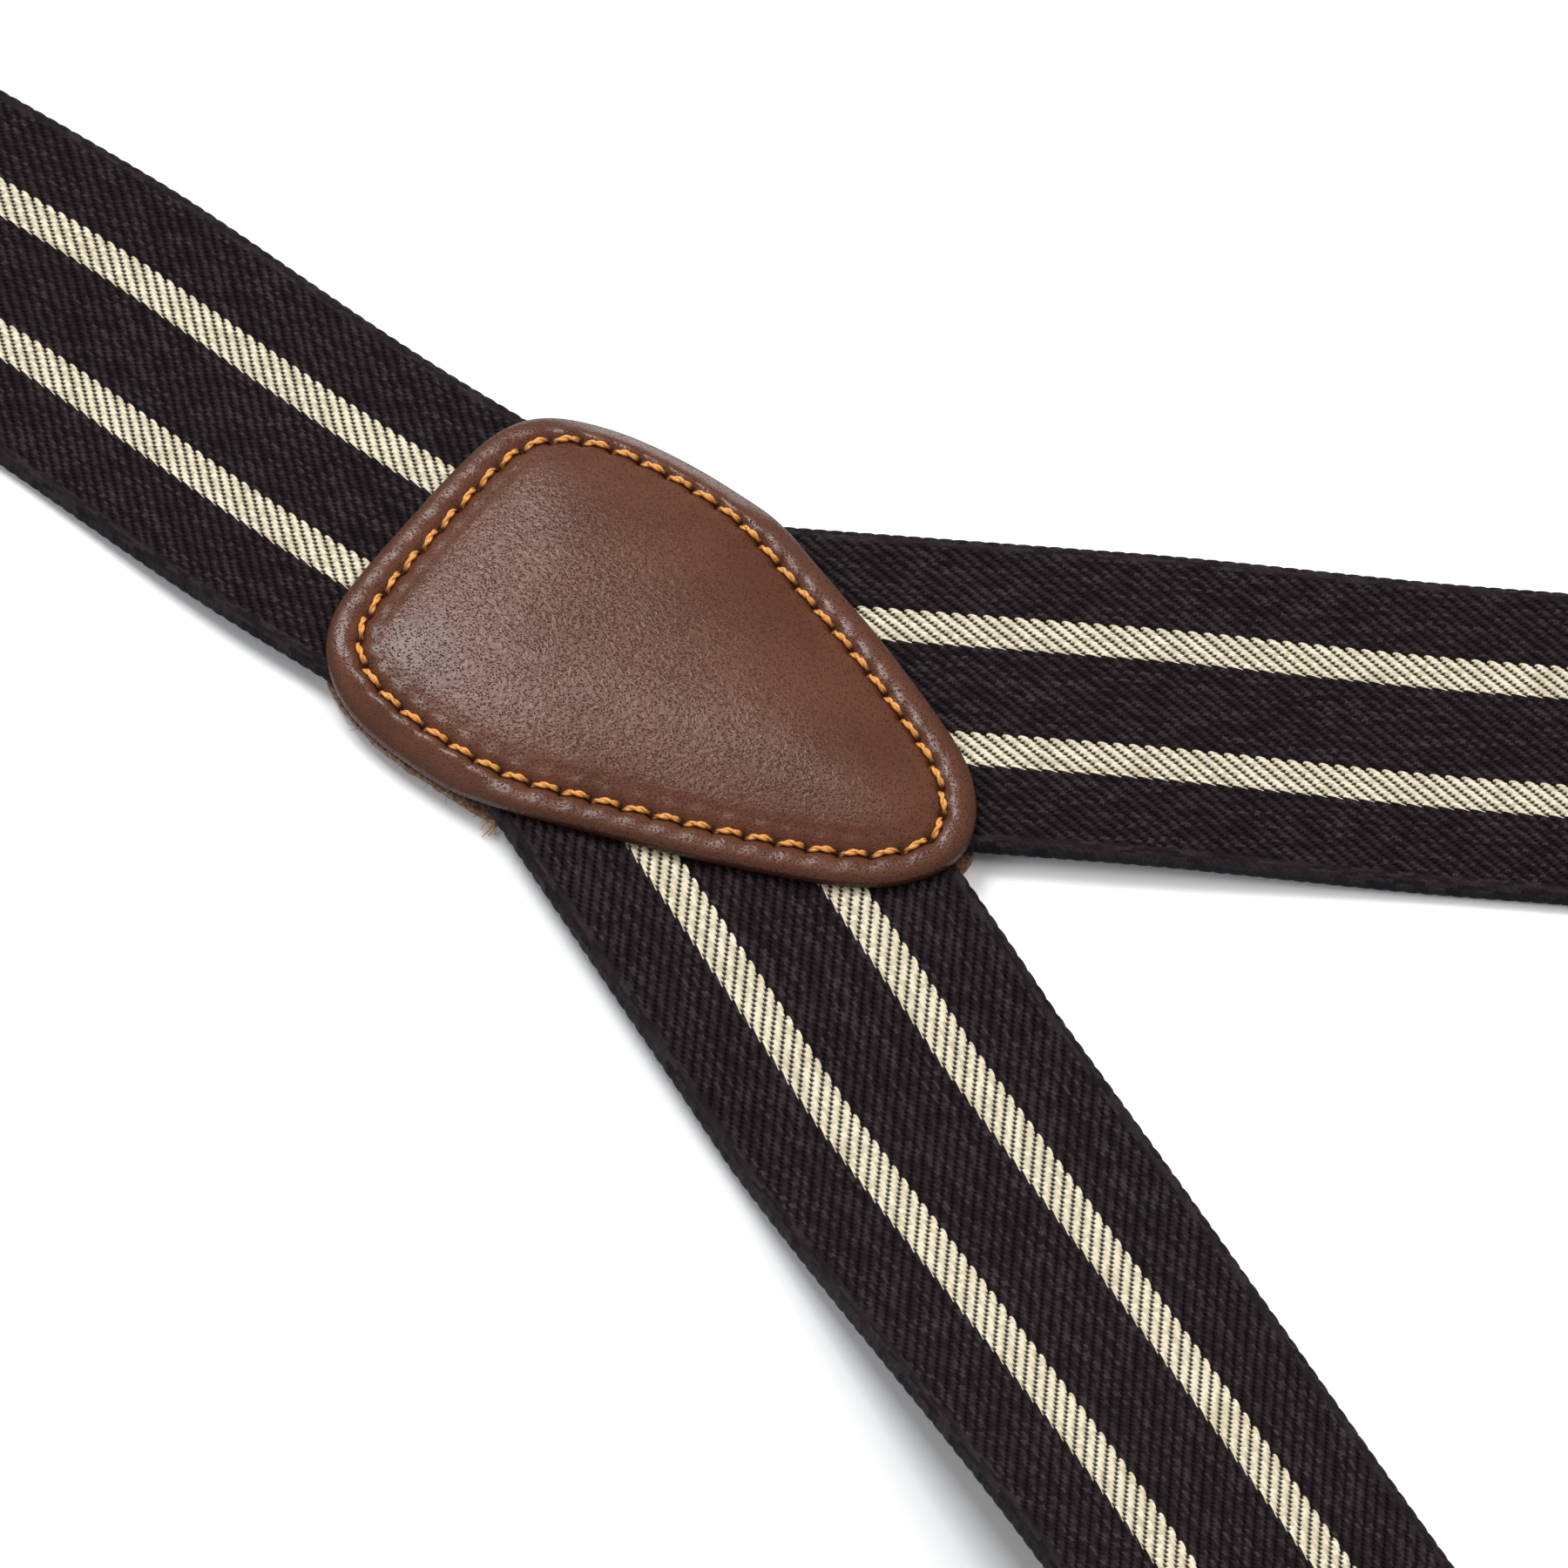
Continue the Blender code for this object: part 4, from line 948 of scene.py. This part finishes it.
def make_lining():
    """Flat lining under the straps, its cut edge fibrous and a little proud."""
    wander = np.random.default_rng(7)
    loose = np.zeros(AROUND)
    for size in (3, 9, 31):
        ring = wander.normal(0, 1, AROUND)
        kernel = np.ones(size) / size
        loose += np.convolve(np.concatenate([ring[-size:], ring, ring[:size]]), kernel, "same")[size:-size] * size**0.5
    proud = (0.10 + 0.07 * np.clip(loose, -1.5, 2.5)) * MM
    profile = [
        (3.0, 0.98), (1.0, 0.98), (0.5, 0.995), (0.10, 0.95), (0.0, 0.72),
        (0.03, 0.42), (0.12, 0.12), (0.4, 0.0), (1.0, 0.0), (3.0, 0.0),
    ]
    rows = len(profile) + 5

    def place(row, column):
        around = column % AROUND
        xy = np.zeros((len(row), 2))
        z = np.zeros(len(row))
        rim = STITCH_LINE[around] + STITCH_OUT[around] * (STITCH_INSET + proud[around][:, None])
        spine = spine_of(STITCH_LINE[around])
        for k in range(rows + 1):
            here = row == k
            if k < 3:
                share, inset, level = 1 - k * 0.34, 3.0, 0.98
            elif k < 3 + len(profile):
                (inset, level), share = profile[k - 3], 0.0
            else:
                share, inset, level = (k - 3 - len(profile) + 1) / 3, 3.0, 0.0
            edge = rim[here] - STITCH_OUT[around[here]] * inset * MM
            xy[here] = edge + (spine[here] - edge) * share
            rise = RIM_DROP[around[here]] * LINING_LIFT * (1 - eased(share + inset / 40, 0.0, 0.3))
            z[here] = level * LINING_THICK + rise
        return np.stack([PATCH_X + xy[:, 0], xy[:, 1], z], 1), xy / MM, {}

    piece = shaped_grid("patch_lining_hide", rows, AROUND, place, RAW_LEATHER)
    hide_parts("patch_lining")
    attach(piece, "straps")


def make_patch_sewing():
    """The row of stitches round the patch."""
    level, _ = leather_height(np.full(AROUND, STITCH_INSET), np.full(AROUND, PER_STITCH // 2))
    route = np.stack([PATCH_X + STITCH_LINE[:, 0], STITCH_LINE[:, 1], level + 0.06 * MM], 1)
    piece = thread_run("patch_sewing", route, PATCH_STITCHES, ORANGE_THREAD, closed=True)
    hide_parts("patch_stitching")
    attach(piece, "straps")


def fibre(name, points, radius, finish, rows=6, sides=5):
    """One thin fibre along a few points, tapering to its free end."""
    points = np.array(points, float)
    walked = walked_of(points)

    def place(row, column):
        s = row / rows * walked[-1]
        middle = along_line(s, walked, points)
        around = 2 * math.pi * column / sides
        width = radius * (1 - 0.6 * row / rows)
        aside = np.array([-(points[-1] - points[0])[1], (points[-1] - points[0])[0], 0.0])
        aside /= max(np.linalg.norm(aside), 1e-9)
        out = aside * (width * np.cos(around))[:, None]
        out[:, 2] += width * np.sin(around)
        return middle + out, np.stack([s / MM, column / sides], 1), {}

    return shaped_grid(name, rows, sides, place, finish, weld=0.2e-6)


def make_fray():
    """Loose fibres of the lining's cut edge, and the tail of the sewing thread."""
    wander = np.random.default_rng(21)
    hairs = []
    for i in range(150):
        at = int(wander.integers(0, AROUND))
        if RIM_DROP[at] < 0.35:
            continue
        base = STITCH_LINE[at] + STITCH_OUT[at] * (STITCH_INSET - 0.05 * MM)
        z = LINING_LIFT * RIM_DROP[at] + wander.uniform(0.2, 0.9) * MM
        lean = wander.normal(0, 0.6)
        way = STITCH_OUT[at] + np.array([-STITCH_OUT[at][1], STITCH_OUT[at][0]]) * lean
        long = wander.uniform(0.25, 0.85) * MM
        bend = wander.uniform(-0.5, 0.3) * MM
        start = np.array([PATCH_X + base[0], base[1], z])
        mid = start + np.append(way * long * 0.5, bend * 0.3)
        end = start + np.append(way * long + wander.normal(0, 0.12, 2) * MM, bend)
        end[2] = max(end[2], 0.1 * MM)
        hairs.append(fibre(f"hair_{i}", [start, mid, end], wander.uniform(0.02, 0.045) * MM, RAW_LEATHER, 3, 3))
    piece = joined("lining_fray", hairs)
    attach(piece, "straps")
    root = np.array([PATCH_X - 4.9 * MM, -21.2 * MM, 1.2 * MM])
    tails = []
    tips = [(0.2, -1.3, -0.9), (-0.9, -1.1, -1.0), (-0.35, -1.7, -1.05), (-1.3, -0.5, -0.9), (0.5, -0.8, -1.0)]
    for i, tip in enumerate(tips):
        end = root + np.array(tip) * MM
        mid = (root + end) / 2 + np.array([0.25 * (-1) ** i, -0.15, 0.25]) * MM
        tails.append(fibre(f"tail_{i}", [root, mid, end], (0.15 - 0.015 * i) * MM, TAIL_THREAD))
    piece = joined("lining_thread_tail", tails)
    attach(piece, "straps")


make_patch()
make_lining()
make_patch_sewing()
make_fray()


# ---------------------------------------------------------------- sewing at the strap ends and tabs


def corner_run(points, step=0.5 * MM):
    """Straight runs between corners, as closely spaced points."""
    out = []
    for a, b in zip(points[:-1], points[1:]):
        a, b = np.array(a), np.array(b)
        count = max(int(np.linalg.norm(b - a) / step), 1)
        out += [a + (b - a) * i / count for i in range(count)]
    out.append(np.array(points[-1]))
    return out


def sewn_box(name, node, finish, body, slot, rows, along_x):
    """Thread over one packed row of sewing, laid where that row lies."""
    low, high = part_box(node)
    inset = 0.35 * MM
    x0, x1, y0, y1 = low.x + inset, high.x - inset, low.y + inset, high.y - inset
    z = low.z + 0.02 * MM
    if along_x:
        corners = [(x0, y0, z), (x1, y0, z), (x1, y1, z), (x0, y1, z), (x0, y0, z)]
    else:
        corners = []
        for row in range(rows):
            x = x0 + (x1 - x0) * row / (rows - 1)
            corners += [(x, y, z) for y in ((y0, y1) if row % 2 == 0 else (y1, y0))]
    run = corner_run(corners)
    length = sum(np.linalg.norm(b - a) for a, b in zip(run[:-1], run[1:]))
    pitch = STITCH_PITCH if along_x else TACK_PITCH
    piece = thread_run(name, run, max(int(round(length / pitch)), 2), finish, size=0.175 if along_x else 0.16)
    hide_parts(node)
    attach(piece, body)


sewn_box("back_end_sewing", "back_strap_tack", DARK_THREAD, "straps", "dark_thread", 3, False)
for side_name in ("left", "right"):
    names = side_name + "_return_sewing", side_name + "_return_tack"
    sewn_box(*names, DARK_THREAD, side_name + "_adjuster", "dark_thread", 2, False)
for place_name in ("back", "left", "right"):
    names = place_name + "_tab_sewing", place_name + "_tab_stitching"
    sewn_box(*names, ORANGE_THREAD, place_name + "_tab", "orange_thread", 0, True)


# ---------------------------------------------------------------- hardware


END_HARDWARE = (
    ("_ring_wire", "_ring", NICKEL, 0.2 * MM, "nickel", 2, 60.0),
    ("_tab_leather", "_tab", TAB_LEATHER, 0.35 * MM, "patch_leather", 3, 28.0),
    ("_clip_plate", "_clip_base", NICKEL, 0.18 * MM, "nickel", 2, 28.0),
    ("_clip_rivet", "_clip_pin", NICKEL, 0.2 * MM, "nickel", 2, 28.0),
    ("_clip_arm", "_clip_lever", NICKEL, 0.18 * MM, "nickel", 2, 28.0),
    ("_clip_grip", "_clip_pad", GRIP, 0.25 * MM, "grip", 2, 28.0),
    ("_arm_grip", "_lever_pad", GRIP, 0.25 * MM, "grip", 2, 28.0),
)
ADJUSTER_HARDWARE = (
    ("_slide_frame", "_adjuster_frame", NICKEL, 0.18 * MM, "nickel", 2, 28.0),
    ("_slide_gate", "_adjuster_gate", NICKEL, 0.12 * MM, "nickel", 2, 28.0),
    ("_slide_pin", "_gate_pin", NICKEL, 0.2 * MM, "nickel", 2, 28.0),
)
for places, kinds in ((("back", "left", "right"), END_HARDWARE), (("left", "right"), ADJUSTER_HARDWARE)):
    for place_name in places:
        for name, node, *finish in kinds:
            eased_copy(place_name + name, place_name + node, *finish)


# ---------------------------------------------------------------- studio


def lamp(name, spot, aim, size, power, colour=(1.0, 1.0, 1.0)):
    """A square soft light."""
    data = bpy.data.lights.new(name, "AREA")
    data.shape = "SQUARE"
    data.size = size
    data.energy = power
    data.color = colour
    made = bpy.data.objects.new(name, data)
    made.location = spot
    made.rotation_euler = (Vector(aim) - Vector(spot)).to_track_quat("-Z", "Y").to_euler()
    bpy.context.scene.collection.objects.link(made)
    return made


def make_studio():
    """Pale floor, pale surround, a key light, a soft box and the camera."""
    bm = bmesh.new()
    bmesh.ops.create_grid(bm, x_segments=8, y_segments=8, size=3.0)
    mesh = bpy.data.meshes.new("studio_floor")
    bm.to_mesh(mesh)
    bm.free()
    floor = bpy.data.objects.new("studio_floor", mesh)
    bpy.context.scene.collection.objects.link(floor)
    paper, tree, shader = new_finish("studio_paper")
    where = put(tree, "ShaderNodeTexCoord").outputs["Object"]
    tone = grain_noise(tree, where, 40.0, 3.0)
    tree.links.new(tint(tree, tone, (0.93, 0.93, 0.94), (0.95, 0.95, 0.955)), shader.inputs["Base Color"])
    set_levels(shader, Roughness=0.9)
    floor.data.materials.append(paper)

    world = bpy.data.worlds.new("studio_surround")
    bpy.context.scene.world = world
    world.use_nodes = True
    back = world.node_tree.nodes["Background"]
    back.inputs["Color"].default_value = (0.98, 0.99, 1.0, 1.0)
    back.inputs["Strength"].default_value = SURROUND

    aim = Vector((-0.18, 0.0, 0.0))
    key = lamp("key_light", aim + Vector((0.65, 0.85, 1.60)), aim, 1.9, 27.0, (1.0, 0.985, 0.965))
    key.visible_glossy = False
    lamp("soft_box", aim + Vector((-0.66, 0.28, 1.00)), aim, 0.50, 10.5, (0.98, 0.99, 1.0))
    fill = lamp("fill_light", aim + Vector((-0.70, -1.25, 1.10)), aim, 0.9, 7.0, (0.97, 0.985, 1.0))
    fill.visible_glossy = False

    turn, rise, distance = math.radians(36.0), math.radians(56.0), 1.6
    target = Vector((-0.1808, -0.0012, 0.0))
    back_off = Vector((math.sin(turn) * math.cos(rise), -math.cos(turn) * math.cos(rise), math.sin(rise)))
    data = bpy.data.cameras.new("studio_camera")
    data.lens = 388.8
    data.sensor_width = 36.0
    data.clip_end = 20.0
    camera = bpy.data.objects.new("studio_camera", data)
    camera.location = target + back_off * distance
    camera.rotation_euler = (-back_off).to_track_quat("-Z", "Y").to_euler()
    bpy.context.scene.collection.objects.link(camera)
    bpy.context.scene.camera = camera
    bpy.context.scene.view_settings.view_transform = "Standard"


make_studio()
